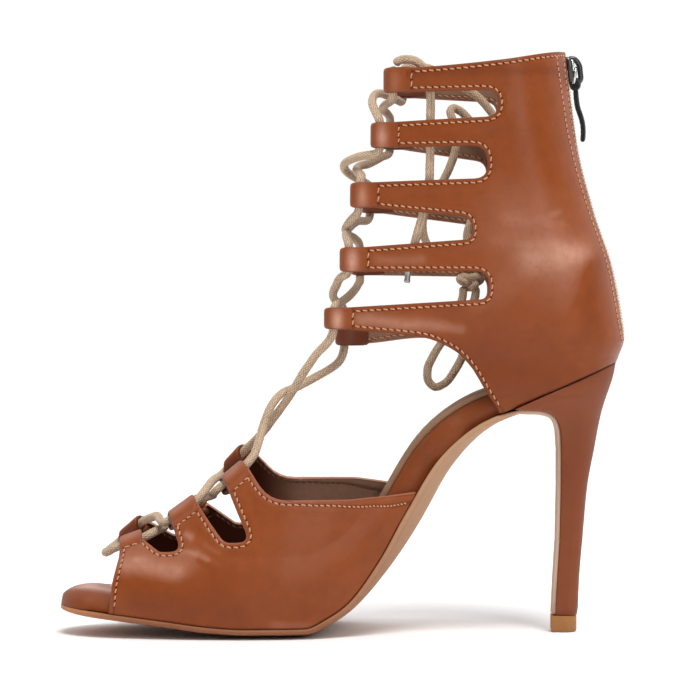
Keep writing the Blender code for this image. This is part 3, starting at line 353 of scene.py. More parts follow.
def tinted(made, share_of, colour):
    """Recolour a leather where a share, worked out in its own tree, says so."""
    tree = made.node_tree
    base = tree.nodes["Principled BSDF"].inputs["Base Color"]
    tree.links.new(blend(tree, share_of(tree), base.links[0].from_socket, srgb(colour)), base)
    return made


def along_x(start, stop, most):
    """A share that grows along the shoe."""
    def share(tree):
        where = add_node(tree, "TexCoord").outputs["Object"]
        x = add_node(tree, "SeparateXYZ", {0: where}).outputs["X"]
        return stretch(tree, x, start * MM, stop * MM, 0.0, most)
    return share


def cut_edge(name, skin, flesh):
    """A cut edge: the dyed skin's colour outside, and the paler flesh of the hide inside."""
    made = leather(name, skin, skin, skin, 0.55, facts=False, coat=0.0)
    return tinted(made, lambda tree: stretch(tree, fact(tree, "rim"), 0.45, 0.7), flesh)


CARAMEL = leather("caramel leather", "8a431a", "55230d", "985028")
EDGE = cut_edge("cut edge", "7e4226", "b07458")
RAW_EDGE = cut_edge("raw edge", "96563c", "d3a08a")
# a darker copy of the caramel leather: painted shade on the inward faces of a fold
FOLD_PAINTED_SHADE = leather("fold in painted shade", "78402a", "462012", "8a5038", 0.5, coat=0.0, painted_sheen="7a4838")
BOARD = leather("wrapped board", "7e3e1b", "5f2a12", "8c4a26", 0.5, facts=False, coat=0.0)
# a painted sheen on the top of the board's toe, where the fact tone says so
tinted(BOARD, lambda tree: stretch(tree, fact(tree, "tone"), 0.0, 1.0), "c49a8c")
HEEL_WRAP = leather("heel wrap", "814327", "683520", "8a4c2e", 0.55, facts=False, coat=0.0)
# its painted_sheen and depth colours are the lining's painted highlight and painted shade
LINING = leather("taupe lining", "7c5846", "50301f", "90705c", 0.65, coat=0.0, painted_sheen="b08a74",
                 depth="3c1406")
SOCK = leather("tan sock", "8f6c50", "6a4c3a", "a28470", 0.65, facts=False, coat=0.0)
SOLE_EDGE = leather("sole leather", "905c3e", "6e402a", "a87656", 0.6, facts=False, coat=0.0)
for start, stop, most, colour in ((-5, 34, 0.8, "bd9676"), (62, 68, 0.6, "cdb2a2"),
                                  (-78, -98, 0.8, "c08058")):
    tinted(SOLE_EDGE, along_x(start, stop, most), colour)
TIP = leather("top piece", "9c693b", "7e512c", "ab7c4e", 0.5, facts=False, coat=0.0)
print("leathers:", [m.name for m in bpy.data.materials])

# %% Cotton, thread, tape, metal
STRANDS = 5


def cotton(name, colour, dark, fuzz_share=0.55):
    """Plaited cotton: diamonds from two diagonal waves on the piece's own length and girth."""
    colour, dark = srgb(colour), srgb(dark)
    made, tree, shader = new_finish(name, colour, 0.92, Sheen_Weight=0.2, Sheen_Roughness=0.6,
                                    Specular_IOR_Level=0.15)
    spot = add_node(tree, "TexCoord").outputs["UV"]
    split = add_node(tree, "SeparateXYZ", {0: spot})
    turn = times(tree, split.outputs[0], STRANDS * math.pi)
    run = times(tree, split.outputs[1], math.pi)
    one = sums(tree, "SINE", sums(tree, "ADD", turn, run))
    two = sums(tree, "SINE", sums(tree, "SUBTRACT", turn, run))
    plait = sums(tree, "ABSOLUTE", times(tree, one, two))
    fuzz = times(tree, sums(tree, "ADD", noise(tree, 2200.0, 4.0, 0.75), noise(tree, 800.0)), 0.5)
    shade = sums(tree, "ADD", times(tree, plait, 1 - fuzz_share), times(tree, fuzz, fuzz_share))
    tree.links.new(blend(tree, stretch(tree, shade, 0.18, 0.62), dark, colour), shader.inputs["Base Color"])
    bump = add_node(tree, "Bump", {"Strength": 0.7, "Distance": 0.0004, "Height": shade})
    tree.links.new(bump.outputs["Normal"], shader.inputs["Normal"])
    return made


COTTON = cotton("cream cotton lace", "dbc0a3", "846248", fuzz_share=0.62)
THREAD = cotton("peach thread", "d69c76", "b27650", fuzz_share=1.0)
DULL_THREAD = cotton("brown thread", "6a4632", "4a2c1c", fuzz_share=1.0)
TAPE = cotton("cream zip tape", "e2d2c2", "bfa892", fuzz_share=1.0)
BLACK_CORD = cotton("black cord", "1c1b1c", "0a0a0a")
HOLE_SHADE = new_finish("needle hole shade", srgb("4a1f0e"), 0.9, Specular_IOR_Level=0.1)[0]
SILVER = new_finish("silver metal", (0.62, 0.62, 0.6), 0.22, Metallic=1.0)[0]
BLACK = new_finish("black enamel", (0.012, 0.012, 0.013), 0.3, Coat_Weight=0.4)[0]
COIL = new_finish("cream coil", srgb("d8c6b2"), 0.45)[0]
AGLET_METAL = new_finish("grey aglet", (0.38, 0.36, 0.34), 0.35, Metallic=0.6)[0]
print("finishes:", len(bpy.data.materials))

# %% [markdown]
# ## The board's line
# The footbed follows one line from toe to seat. Each row of the table is a station: where the
# sole's top lies, how wide the board is on each side of it and how thick. A station's frame is the
# line's direction and its normal, so a section always stands square on the line.

# %% Table and line of the sole
TOE_ROUND = 25.0  # length of the rounded toe end
SEAT_ROUND = 26.0  # length of the rounded seat end
BREAST_X = 57.0  # x where the outsole leaves the footbed for the heel's front
LINE_ROWS = 900
SOLE_COLUMNS = ("x", "z", "inner", "outer", "mid", "lift", "belly", "board")
SOLE = {
    "toe tip": (-103.3, 10.6, 23.5, 23.5, -8.5, 0.2, 0, 7.4),
    "toe": (-92, 9, 25, 25.5, -7.3, 0.7, 0, 7.7),
    "toe root": (-80, 7.6, 28.5, 29.5, -5.7, 0.9, 0, 7.5),
    "front of joint": (-64, 5.7, 33.5, 34.5, -3.4, 1, 0.2, 6),
    "tread front": (-46, 3.3, 36.8, 37.5, -1.4, 1.2, 0.4, 5.2),
    "ball front": (-34, 2.6, 37.6, 38.4, -0.4, 1.2, 0.5, 5.2),
    "ball": (-22, 2.6, 37.2, 38.4, 0.4, 1.2, 0.5, 5.4),
    "tread back": (-12, 2.6, 35.4, 37.2, 1, 1.2, 0.5, 5.8),
    "waist front": (-4, 6.2, 33, 35, 1.4, 1, 0.4, 6.4),
    "waist rise": (3, 11.2, 30.4, 32.6, 1.8, 0.7, 0.6, 7),
    "arch foot": (14, 26, 26, 29, 2.4, 0.4, 2.2, 8.2),
    "arch": (24.5, 45.2, 22.6, 25.6, 2.8, 0.2, 4, 9),
    "arch top": (37, 65.3, 21.2, 23.6, 2.6, 0.1, 3.3, 9),
    "waist back": (50, 76.7, 22, 23.2, 1.8, 0, 1.6, 8.4),
    "seat front": (62.4, 82.8, 23.9, 24.2, 1.1, 0, 0.4, 7.4),
    "seat": (80, 90.8, 26, 26, 0, 0, 0, 7),
    "seat back": (101.4, 100.1, 26.4, 26.4, -1.3, 0, 0, 6.5),
}


def foot_line():
    """The footbed's middle line as fine rows: each column of SOLE, and the path length."""
    rows = np.array(list(SOLE.values()), float)
    knots = lengths(rows[:, :2])
    fine = np.linspace(0, knots[-1], LINE_ROWS)
    columns = {name: smooth(fine, knots, rows[:, i]) for i, name in enumerate(SOLE_COLUMNS)}
    columns["path"] = lengths(np.column_stack([columns["x"], columns["z"]]))
    return columns


LINE = foot_line()
LENGTH = LINE["path"][-1]


def on_line(name, path):
    return np.interp(path, LINE["path"], LINE[name])


def path_at(x):
    return np.interp(x, LINE["x"], LINE["path"])


def line_frame(path):
    """Point, forward direction and upward normal of the middle line, in x and z."""
    x, z = on_line("x", path), on_line("z", path)
    dx, dz = (on_line(name, path + 0.8) - on_line(name, path - 0.8) for name in "xz")
    size = np.hypot(dx, dz)
    return x, z, dx / size, dz / size


def half_widths(path, seat_cut=0.0):
    """Inner and outer half widths at a path length; seat_cut shortens the rounded seat."""
    toe = end_round(path, TOE_ROUND)
    seat = end_round(LINE["x"][-1] - seat_cut - on_line("x", path), SEAT_ROUND)
    return on_line("inner", path) * toe * seat, on_line("outer", path) * toe * seat


def covered(x):
    """1 where the vamp or the quarters wrap the footbed's side, else 0."""
    vamp = ramp(x, -95, -89) * (1 - ramp(x, 33, 38))
    return vamp + ramp(x, 43, 49)


def section_points(path, shares, heights, inset=0.0, seat_cut=0.0):
    """Points of a section at a path length, from shares of the half width and normal heights."""
    x, z, fore, rise = line_frame(path)
    inner, outer = half_widths(path, seat_cut)
    half = np.where(shares < 0, inner, outer)
    half = np.maximum(half - inset, 0.6 * half)
    up = heights + on_line("lift", path) * np.abs(shares) ** 4
    return np.column_stack([x - rise * up, on_line("mid", path) + shares * half, z + fore * up])


def both_halves(path, shares, heights, *cuts):
    """A closed section: its points on the outer half, and their mirror on the inner half."""
    right, left = (section_points(path, way * shares, heights, *cuts) for way in (1, -1))
    return np.concatenate([right, left[::-1]])


print("line length", round(LENGTH, 1))

# %% [markdown]
# ## The maker's patterns
# The shaft is a rounded back with sides that pinch in front. The vamp rises from the sole's edge
# and curves over the foot. A point of either is found from two pattern coordinates: one along the
# foot and one upwards, measured on the leather, so that a distance in the pattern is a distance
# on the shoe.

# %% Tables of the shaft
COLLAR_PINCH = 0.28  # how much narrower the shaft is at its open front
SHAFT_TURN = 0.06  # the shaft and heel turn outwards, in mm of y for each mm of x
SEAT_MID_X = 80.0  # x where the middle line of the heel crosses y = 0
OUTER_BACK = 3.0  # the outer straps end further back
OUTER_DROOP = 6.5  # the lowest outer strap hangs lower at its end
SHAFT_COLUMNS = ("z", "back", "half", "front")
SHAFT = {
    "under seat": (78, 100.4, 22.6, -7.5),
    "seat front": (84, 100.6, 24.2, -7.5),
    "seat": (92, 100.9, 26.2, -7.5),
    "seat back": (100, 101.5, 26.6, -7.5),
    "counter": (108, 104, 27.6, -7.5),
    "heel bone": (116, 103, 28.6, -7),
    "ankle": (135, 99.4, 30, -1.5),
    "above ankle": (154, 93.2, 30.6, 3),
    "tendon": (178, 87, 31, 10.5),
    "under collar": (198, 84.2, 31.2, 14.8),
    "collar": (216, 82.2, 31.6, 16.5),
}
# x and height of the quarters' lower edge, then of the collar
QUARTER_FOOT = {
    "strap end": (-8, 112.6),
    "strap middle": (12, 110.8),
    "strap root": (30, 108.9),
    "curve top": (41.5, 104.2),
    "curve": (48, 97.8),
    "curve foot": (53, 89.4),
    "point": (58, 81.7),
}
POINT_X = QUARTER_FOOT["point"][0]
COLLAR = {
    "strap end": (0, 206.2),
    "strap": (30, 207),
    "side": (58, 209.2),
    "back": (84, 213.8),
}
# x of a strap's end, heights of its edges there, and how much higher the outer strap's end sits
STRAPS = {
    "strap_1": (14.8, 197.9, 207.2, 0.9),
    "strap_2": (10.1, 177.9, 187.3, 1.4),
    "strap_3": (2.7, 156.2, 165.5, -1),
    "strap_4": (-1, 132.8, 141.8, -1),
    "strap_5": (-6.7, 111.8, 119.8, 0),
}
LOWEST = "strap_5"
# x of a gap's rear end, heights of its edges there, its two corner radii, and how much lower the
# upper edge is on the outer side
GAPS = {
    "gap_1": (57.4, 198.2, 188.9, 4.6, 4.4, 1),
    "gap_2": (53.5, 178.2, 166.6, 5.4, 4.6, 3.6),
    "gap_3": (47.9, 152.4, 144.6, 5, 2.6, 1.6),
    "gap_4": (53.9, 132.8, 122.9, 5.6, 3.2, 1.7),
}
print("straps:", len(STRAPS), "gaps:", len(GAPS), "collar at", COLLAR["back"][1], "mm behind")

# %% Shaft and its straps
TUNNEL_AXIS = (3.5, -3.2)  # the lace runs this far behind a fold's end and below the outer face


def centre_y(x):
    """Middle line of the heel and the shaft, turned a little outwards of the foot's length."""
    return (SEAT_MID_X - np.asarray(x)) * SHAFT_TURN


def shaft_column(name, z):
    return over(SHAFT, z, SHAFT_COLUMNS.index(name))


def shaft_y(x, z):
    """Half width of the shaft's outer face at x and z: a round back and sides that pinch in front."""
    back, half, front = (shaft_column(name, z) for name in ("back", "half", "front"))
    reach = np.clip(back - x, 0, None)
    ahead = np.clip((reach - SEAT_ROUND) / (back - front - SEAT_ROUND), 0, None)
    return half * end_round(reach, SEAT_ROUND) * (1 - COLLAR_PINCH * ahead**2)


def droop(x, side):
    """How much lower the lowest outer strap hangs at x, under the weight of its lace."""
    return OUTER_DROOP * (1 - ramp(x, -4, 40)) * (side > 0)


def quarter_foot(x, side):
    """Height of the quarters' lower edge: the table's curve, then the board."""
    seat = np.interp(x, LINE["x"], LINE["z"])
    return np.where(x > POINT_X, seat, over(QUARTER_FOOT, x)) - droop(x, side)


def strap_end(name, side):
    return STRAPS[name][0] + OUTER_BACK * (side > 0)


def strap_edges(name, side, x=None):
    """Heights of a strap's lower and upper edge, at its end or at x."""
    _, low, high, outer_rise = STRAPS[name]
    rise = outer_rise * (side > 0)
    lower = droop(strap_end(name, side) if x is None else x, side) * (name == LOWEST)
    return low + rise - lower, high + rise - lower


def curve_with_normals(points, out):
    """A line's lengths, its points, and the part of `out` that stands square on it."""
    way, out = unit(np.gradient(points, axis=0)), np.asarray(out, float)
    return lengths(points), points, unit(out - way * (way @ out)[:, None])


def behind_strap(name, z, side):
    """Curve along the outer face, from the strap's fold backwards, with its outward normals."""
    x = strap_end(name, side) + np.linspace(0, 16, 33)
    y = centre_y(x) + side * shaft_y(x, np.full_like(x, z))
    return curve_with_normals(np.column_stack([x, y, np.full_like(x, z)]), (0, side, 0))


def strap_curve(name, share, side):
    """Curve across a strap at a share of its width, from its lower to its upper edge."""
    low, high = strap_edges(name, side)
    return behind_strap(name, low + share * (high - low), side)


def place(curve, profile):
    """Profile points carried on to a curve that starts at the fold."""
    run, points, normal = curve
    behind, above = np.array(profile).T
    at, out = (np.column_stack([np.interp(behind, run, values[:, i]) for i in range(3)])
               for values in (points, normal))
    return at + out * above[:, None]


print("strap ends:", {name: [round(v, 1) for v in strap_edges(name, 1)] for name in STRAPS})

# %% Tables of the vamp
OUTER_RAISE = 5.2  # the vamp's topline is higher on its outer side
OUTER_APEX = 6.0  # and so is its cross-section
VAMP_POWER = 0.85  # the vamp leaves the sole a little steeper than an ellipse does
# x and height of the cross-section's top along the foot
VAMP_APEX = {
    "toe": (-92, 25),
    "tab a": (-78, 30.5),
    "tab b": (-59, 44.5),
    "tab c": (-39.5, 61),
    "instep": (-25, 74),
    "waist": (0, 84),
    "arch": (30, 84),
}
# front and rear corner of each folded tab in x and z, inner side then outer side
TABS = {
    "tab_a": ((-81.3, 36.5), (-73, 39.6), (-84.4, 36.9), (-77.4, 42.8)),
    "tab_b": ((-64, 45.5), (-54.9, 52), (-64.6, 45), (-55.8, 50.6)),
    "tab_c": ((-45, 58.2), (-37.6, 64.4), (-45.7, 62.5), (-39.9, 68.6)),
}
# corners of the outline: x, z and radius
VAMP_FRONT = {"foot": (-83.6, 4.0, 0.0), "shin": (-82.2, 20.0, 8.0), "throat": (-80.2, 29.5, 6.0)}
VAMP_NOTCHES = {
    "between a and b": ((-64.9, 31.5, 3.4), (-57.1, 31.9, 4.4)),
    "between b and c": ((-41.2, 35.0, 4.2), (-31.9, 35.2, 4.6)),
}
VAMP_TOPLINE = {"scoop": (-25.0, 50.2, 13.0), "side": (4.0, 50.2, 30.0), "point": (27.5, 52.4, 0.0)}
print("tabs:", len(TABS), "notches:", len(VAMP_NOTCHES))

# %% Vamp and its tabs
def sole_edge(x, side):
    """Height of the outsole's top edge and its half width at x, on one side of the foot."""
    path = np.linspace(0, path_at(BREAST_X), 500)
    px, pz, fore, rise = line_frame(path)
    lift = on_line("lift", path)
    edge_x, edge_z = px - rise * lift, pz + fore * lift
    clear = GAP / np.maximum(fore, 0.35)
    half = half_widths(path)[0 if side < 0 else 1]
    order = np.argsort(edge_x)
    return [np.interp(x, edge_x[order], values[order]) for values in
            (edge_z + clear, half, on_line("mid", path))]


def apex_at(x, side):
    """Height of the cross-section's top."""
    return over(VAMP_APEX, x) + OUTER_APEX * (side > 0)


def vamp_face(x, turn, side):
    """Outer face of the vamp: `turn` goes from 0 at the sole's edge towards 90 degrees on top."""
    foot, half, mid = sole_edge(x, side)
    rise = apex_at(x, side) * np.sin(turn) ** VAMP_POWER
    bulge = 1.3 * np.sin(np.clip(rise / 26, 0, 1) * math.pi)
    return np.stack([x, mid + side * ((half - 0.3) * np.cos(turn) + bulge), foot + rise], axis=-1)


def vamp_turn(x, z, side):
    """The `turn` at which the vamp's face reaches height z."""
    turns = np.linspace(0, 1.45, 400)
    heights = vamp_face(np.full_like(turns, x), turns, side)[:, 2]
    return np.interp(z, heights, turns)


def below_fold(x, z, lean, side):
    """Curve down the vamp's face from a point of a fold, moving `lean` along x for each unit of its
    length, with its outward normals."""
    turns = np.clip(vamp_turn(x, z, side) - np.linspace(0, 0.75, 60), 0, None)
    run = lengths(vamp_face(np.full_like(turns, x), turns, side)) / math.sqrt(1 - lean**2)
    return curve_with_normals(vamp_face(x + lean * run, turns, side), (0, 0.4 * side, 1.0))


def fold_lean(front, rear, side):
    """Share of x in the direction that leaves a fold squarely, as seen from the side."""
    x, z = (front + rear) / 2
    turn = vamp_turn(x, z, side)
    low, high = vamp_face(np.full(2, x), np.array([turn - 0.05, turn]), side)
    steep = (high - low)[2] / np.linalg.norm(high - low)
    slope = (rear - front)[1] / (rear - front)[0] * steep
    return slope / math.hypot(slope, 1)


def moved(x, z, side):
    """A point of the vamp's pattern on one side: the outer side's topline is higher."""
    if side < 0:
        return x, z
    rise = OUTER_RAISE * ramp(x, -40, -25) * (1 - ramp(x, 10, 27))
    return x, z + rise


def tab_curve(name, share, side):
    """Curve down a tab at a share of its width, from its front to its rear."""
    front, rear = np.array(TABS[name][:2] if side < 0 else TABS[name][2:])
    return below_fold(*(front + share * (rear - front)), fold_lean(front, rear, side), side)


def tab_curves(name, side):
    return [tab_curve(name, share, side) for share in (0, 0.5, 1)]


print("leather over the ball, inner side:", vamp_face(-22.0, 1.2, -1).round(1))

# %% The shaft's surface over its pattern
TURN = np.linspace(0, math.pi / 2, 200)
ROUND_X, ROUND_Y = np.sin(TURN) ** (2 / FULL), np.cos(TURN) ** (2 / FULL)
MEAN_HALF = 29.0  # the shaft's half width, on average
ARC = lengths(np.column_stack([SEAT_ROUND * ROUND_X, MEAN_HALF * ROUND_Y]))
BACK_ARC = ARC[-1]  # length of leather round one side of the back


def shaft_surface(q, z, side):
    """Point at pattern place (q, z): q is x along the side, then the arc round the back."""
    back, half, front = (shaft_column(name, z) for name in ("back", "half", "front"))
    start = back - SEAT_ROUND
    run = np.clip(q - start, 0, BACK_ARC)
    x = np.where(q > start, start + SEAT_ROUND * np.interp(run, ARC, ROUND_X), q)
    ahead = np.clip((start - x) / (start - front), 0, None)
    y = half * np.interp(run, ARC, ROUND_Y) * (1 - COLLAR_PINCH * ahead**2)
    return np.stack([x, centre_y(x) + side * y, z + 0 * x], axis=-1)


def shaft_place(x, z):
    """Pattern coordinate q of a point at x on the side of the shaft."""
    start = shaft_column("back", z) - SEAT_ROUND
    run = np.interp(np.clip((x - start) / SEAT_ROUND, 0, 1), ROUND_X, ARC)
    return np.where(x > start, start + run, x)


print("leather round the back", round(float(BACK_ARC), 1))

# %% The vamp's surface over its pattern
VAMP_X = np.linspace(-100, 34, 135)
VAMP_TURNS = np.linspace(0, 1.5, 90)


def vamp_table(side):
    """Height along the leather of each (x, turn): the arc from the sole's edge."""
    grid_x, grid_turn = np.meshgrid(VAMP_X, VAMP_TURNS, indexing="ij")
    face = vamp_face(grid_x, grid_turn, side)
    steps = np.hypot(np.diff(face[:, :, 1], axis=1), np.diff(face[:, :, 2], axis=1))
    return np.concatenate([np.zeros((len(VAMP_X), 1)), np.cumsum(steps, axis=1)], axis=1)


ARC_STEPS = np.linspace(0, 70, 141)


def vamp_turns(side):
    """Turn at each (x, arc) of an even grid, by reading the arc table backwards row by row."""
    return np.stack([np.interp(ARC_STEPS, row, VAMP_TURNS) for row in vamp_table(side)])


TURN_AT = {-1: vamp_turns(-1), 1: vamp_turns(1)}


def between(table, rows, columns, x, v):
    """Bilinear reading of a table at (x, v)."""
    i = np.clip((x - rows[0]) / (rows[1] - rows[0]), 0, len(rows) - 1.001)
    j = np.clip((v - columns[0]) / (columns[1] - columns[0]), 0, len(columns) - 1.001)
    a, b = i.astype(int), j.astype(int)
    s, t = i - a, j - b
    low = table[a, b] * (1 - t) + table[a, b + 1] * t
    high = table[a + 1, b] * (1 - t) + table[a + 1, b + 1] * t
    return low * (1 - s) + high * s


def vamp_surface(x, v, side):
    """Point at pattern place (x, v), v measured up the leather from the sole's edge."""
    return vamp_face(x, between(TURN_AT[side], VAMP_X, ARC_STEPS, x, v), side)


def vamp_place(x, z, side):
    """Pattern coordinate v of a point of the vamp at x and height z."""
    foot, _, _ = sole_edge(x, side)
    share = np.clip(z - foot, 0, None) / apex_at(x, side)
    turn = np.arcsin(np.clip(share, 0, 0.999) ** (1 / VAMP_POWER))
    return between(vamp_table(side), VAMP_X, VAMP_TURNS, np.asarray(x, float), turn)


print("turns up the vamp's inner side:", TURN_AT[-1].shape)

# %% [markdown]
# ## Cutting leather
# A pattern piece is a flat outline. It is filled with small square cells, the rim of the cells is
# moved on to the outline and evened out, and the whole is carried on to the shoe's surface. The
# lining is the same sheet moved inwards, and a half-round edge joins the two, so the piece is one
# closed body with real thickness.

# %% Distances in the pattern
def batches(points):
    """Row numbers in batches, so that a table of all pairs stays small."""
    return np.array_split(np.arange(len(points)), max(1, len(points) // 4000))


def nearest(points, line, closed=True):
    """Distance from each point to a polyline, and the place along it, in one array of pairs."""
    ends = np.roll(line, -1, axis=0) if closed else line[1:]
    starts = line if closed else line[:-1]
    way = ends - starts
    size = np.maximum((way**2).sum(axis=1), 1e-12)
    at = np.concatenate([[0], np.cumsum(np.sqrt(size))])
    best, place_on = np.empty(len(points)), np.empty(len(points))
    for part in batches(points):
        off = points[part][:, None] - starts[None]
        share = np.clip((off * way).sum(axis=2) / size, 0, 1)
        gap = np.linalg.norm(off - share[:, :, None] * way, axis=2)
        k = gap.argmin(axis=1)
        row = np.arange(len(part))
        best[part] = gap[row, k]
        place_on[part] = at[k] + share[row, k] * np.sqrt(size[k])
    return best, place_on, at[-1]


def inside(points, line):
    """True for points inside a closed outline: a ray to the right crosses it an odd number of times."""
    ends = np.roll(line, -1, axis=0)
    odd = np.zeros(len(points), bool)
    for part in batches(points):
        x, y = points[part][:, 0, None], points[part][:, 1, None]
        spans = (line[:, 1] > y) != (ends[:, 1] > y)
        rise = np.where(ends[:, 1] == line[:, 1], 1e-12, ends[:, 1] - line[:, 1])
        cross = line[:, 0] + (y - line[:, 1]) / rise * (ends[:, 0] - line[:, 0])
        odd[part] = ((spans & (x < cross)).sum(axis=1) % 2).astype(bool)
    return odd


def along(line, s, closed=True):
    """Points at places s along a polyline."""
    loop = np.vstack([line, line[:1]]) if closed else line
    at = lengths(loop)
    s = np.mod(s, at[-1]) if closed else s
    return np.column_stack([np.interp(s, at, loop[:, k]) for k in range(2)])


SQUARE = np.array([(0, 0), (1, 0), (1, 1), (0, 1)])
print("a square's middle lies", nearest(np.array([[0.5, 0.5]]), SQUARE)[0], "from its edge")

# %% Cells inside an outline
RIM_ROUNDS = 12  # times that the rim's points are spread evenly along the outline
INNER_ROUNDS = 10  # times that the inner points move towards their neighbours' middle


def cut_cells(outline, step):
    """Points and quads of the square cells inside an outline, with the rim moved on to it."""
    low, high = outline.min(axis=0) - step, outline.max(axis=0) + step
    across, up = np.arange(low[0], high[0], step), np.arange(low[1], high[1], step)
    centre = np.stack(np.meshgrid(across + step / 2, up + step / 2, indexing="ij"), axis=-1)
    kept = inside(centre.reshape(-1, 2), outline).reshape(centre.shape[:2])
    for a, b in ((0, 1), (1, 0)):
        here, there = kept[:-1, a:len(up) - 1 + a], kept[1:, b:len(up) - 1 + b]
        lone = here & there & ~kept[1:, a:len(up) - 1 + a] & ~kept[:-1, b:len(up) - 1 + b]
        kept[1:, a:len(up) - 1 + a] |= lone
    i, j = np.nonzero(kept)
    tall = len(up) + 1
    quads = np.stack([i * tall + j, (i + 1) * tall + j, (i + 1) * tall + j + 1, i * tall + j + 1], axis=1)
    used, quads = np.unique(quads, return_inverse=True)
    quads = quads.reshape(-1, 4)
    points = np.column_stack([low[0] + step * (used // tall), low[1] + step * (used % tall)])
    a, b = quads.ravel(), np.roll(quads, -1, axis=1).ravel()
    size = len(points)
    open_edge = ~np.isin(a * size + b, b * size + a)
    rim_a, rim_b = a[open_edge], b[open_edge]
    after, before = np.arange(size), np.arange(size)
    after[rim_a], before[rim_b] = rim_b, rim_a
    rim = np.unique(rim_a)
    _, s, total = nearest(points[rim], outline)
    place_on = np.zeros(size)
    place_on[rim] = s
    for _ in range(RIM_ROUNDS):
        ahead = (place_on[after[rim]] - place_on[rim] + total / 2) % total - total / 2
        behind = (place_on[before[rim]] - place_on[rim] + total / 2) % total - total / 2
        place_on[rim] += 0.25 * (ahead + behind)
    points[rim] = along(outline, place_on[rim])
    inner = np.setdiff1d(np.arange(size), rim)
    count = np.bincount(b, minlength=size) + np.bincount(a, minlength=size)
    for _ in range(INNER_ROUNDS):
        middle = np.stack([(np.bincount(b, points[a, k], size) + np.bincount(a, points[b, k], size))
                           / count for k in range(2)], axis=1)
        points[inner] += 0.6 * (middle[inner] - points[inner])
    return points, quads, rim_a, rim_b, after, before


print("a square of 10 mm in cells of 1 mm:", len(cut_cells(10 * SQUARE, 1.0)[1]), "quads")

# %% A sheet of leather
EDGE_BULGE = 0.5  # a cut edge is rounded by this much
HIDDEN_BULGE = 0.08  # and less where another piece hides it
TUCKED_EDGE = -0.3  # an edge that another piece hides runs on by this much
RIM_TURNS = np.linspace(0, math.pi, 6)
SMALL = 0.05


def outward(pattern, surface, side):
    """Outward directions at pattern places: the cross product of the two small steps."""
    p, q = pattern.T
    along_p = surface(p + SMALL, q, side) - surface(p - SMALL, q, side)
    along_q = surface(p, q + SMALL, side) - surface(p, q - SMALL, side)
    return unit(-side * np.cross(along_p, along_q))


def edge_lift(facts):
    """A soft bead along a stitched edge, and a slight swell behind the row of stitches."""
    bead = 0.14 * np.exp(-(((facts["seam"] - 0.95) / 0.6) ** 2))
    swell = 0.12 * np.exp(-(((facts["seam"] - SEAM_IN - 1.6) / 1.1) ** 2))
    return bead + swell


def leather_sheet(name, outline, surface, side, step, facts_of, relief, tucked, finishes):
    """Outer face, lining and half-round edge over an outline, as one closed body."""
    pattern, quads, rim_a, rim_b, after, before = cut_cells(outline, step)
    face, out = surface(*pattern.T, side), outward(pattern, surface, side)
    facts = facts_of(pattern)
    facts["edge"] = nearest(pattern, outline)[0]
    rim = np.unique(rim_a)
    beyond = unit(np.cross(face[after[rim]] - face[before[rim]], out[rim] * -side))
    free = np.clip(nearest(pattern[rim], tucked, closed=False)[0] / 1.2, 0, 1)[:, None]
    bulge = EDGE_BULGE * free + HIDDEN_BULGE * (1 - free)
    face[rim] -= (bulge * free + TUCKED_EDGE * (1 - free)) * beyond
    lift = relief(*pattern.T, side) + edge_lift(facts)
    lining_painted_light = facts.pop("lining")
    lift[rim] *= 0.3
    size = len(face)
    rows = [face + out * lift[:, None], face - out * LEATHER]
    for turn in RIM_TURNS[1:-1]:
        depth = LEATHER / 2 * (1 - math.cos(turn))
        rows.append(face[rim] - out[rim] * depth + beyond * bulge * math.sin(turn))
    points = np.concatenate(rows)
    place_of = np.zeros(size, int)
    place_of[rim] = np.arange(len(rim))
    levels = [[ends] + [2 * size + k * len(rim) + place_of[ends] for k in range(len(RIM_TURNS) - 2)]
              + [size + ends] for ends in (rim_a, rim_b)]
    skirt = np.concatenate([
        np.stack([levels[1][k], levels[0][k], levels[0][k + 1], levels[1][k + 1]], axis=1)
        for k in range(len(RIM_TURNS) - 1)])
    faces = np.concatenate([quads, size + quads[:, ::-1], skirt])
    which = np.repeat([0, 1, 2], [len(quads), len(quads), len(skirt)])
    spare = np.zeros(len(points) - 2 * size)
    # the outer face takes the outside's painted light, the lining its own painted light and shade
    outside = facts["tone"]
    facts = {key: np.concatenate([values, values, spare]) for key, values in facts.items()}
    facts["tone"] = np.concatenate([outside, lining_painted_light, spare])
    facts["rim"] = np.concatenate([0 * outside, 0 * outside + 1,
                                   np.repeat(RIM_TURNS[1:-1] / math.pi, len(rim))])
    return piece(name, points, faces, finishes, which=which, facts=facts)


# %% [markdown]
# ## Stitches
# A lock stitch shows as short cushions of thread with a small hole between them. One stitch is a
# bent spindle of a few dozen faces, and all stitches of a piece are made in one go: the spindle's
# points are carried along each stitch's own three directions.

# %% Stitches along a seam
STITCH_PITCH = 2.5
STITCH_SHARE = 0.4  # half of a stitch's length, as a share of the pitch
SLANT = -0.2
PROUD = 0.03  # the leather beside an edge stands this much higher
THREAD_WIDE, LINING_THREAD = 0.56, 0.5  # thickness of the thread outside, and on the lining


def spindle(rows, around, swell):
    """A spindle: radius swells in the middle and narrows to a point at each end."""
    t = np.linspace(-1, 1, rows)[:, None]
    turn = turns(around)[None]
    radius = np.clip(1 - np.abs(t) ** swell, 0.02, 1) ** 0.5
    return np.stack([t + 0 * turn, radius * np.cos(turn), radius * np.sin(turn)], axis=-1)


THREAD_SHAPE = spindle(6, 6, 4.0)
THREAD_SHAPE[..., 2] -= 0.9 * THREAD_SHAPE[..., 0] ** 2
HOLE_SHAPE = spindle(5, 6, 2.0)


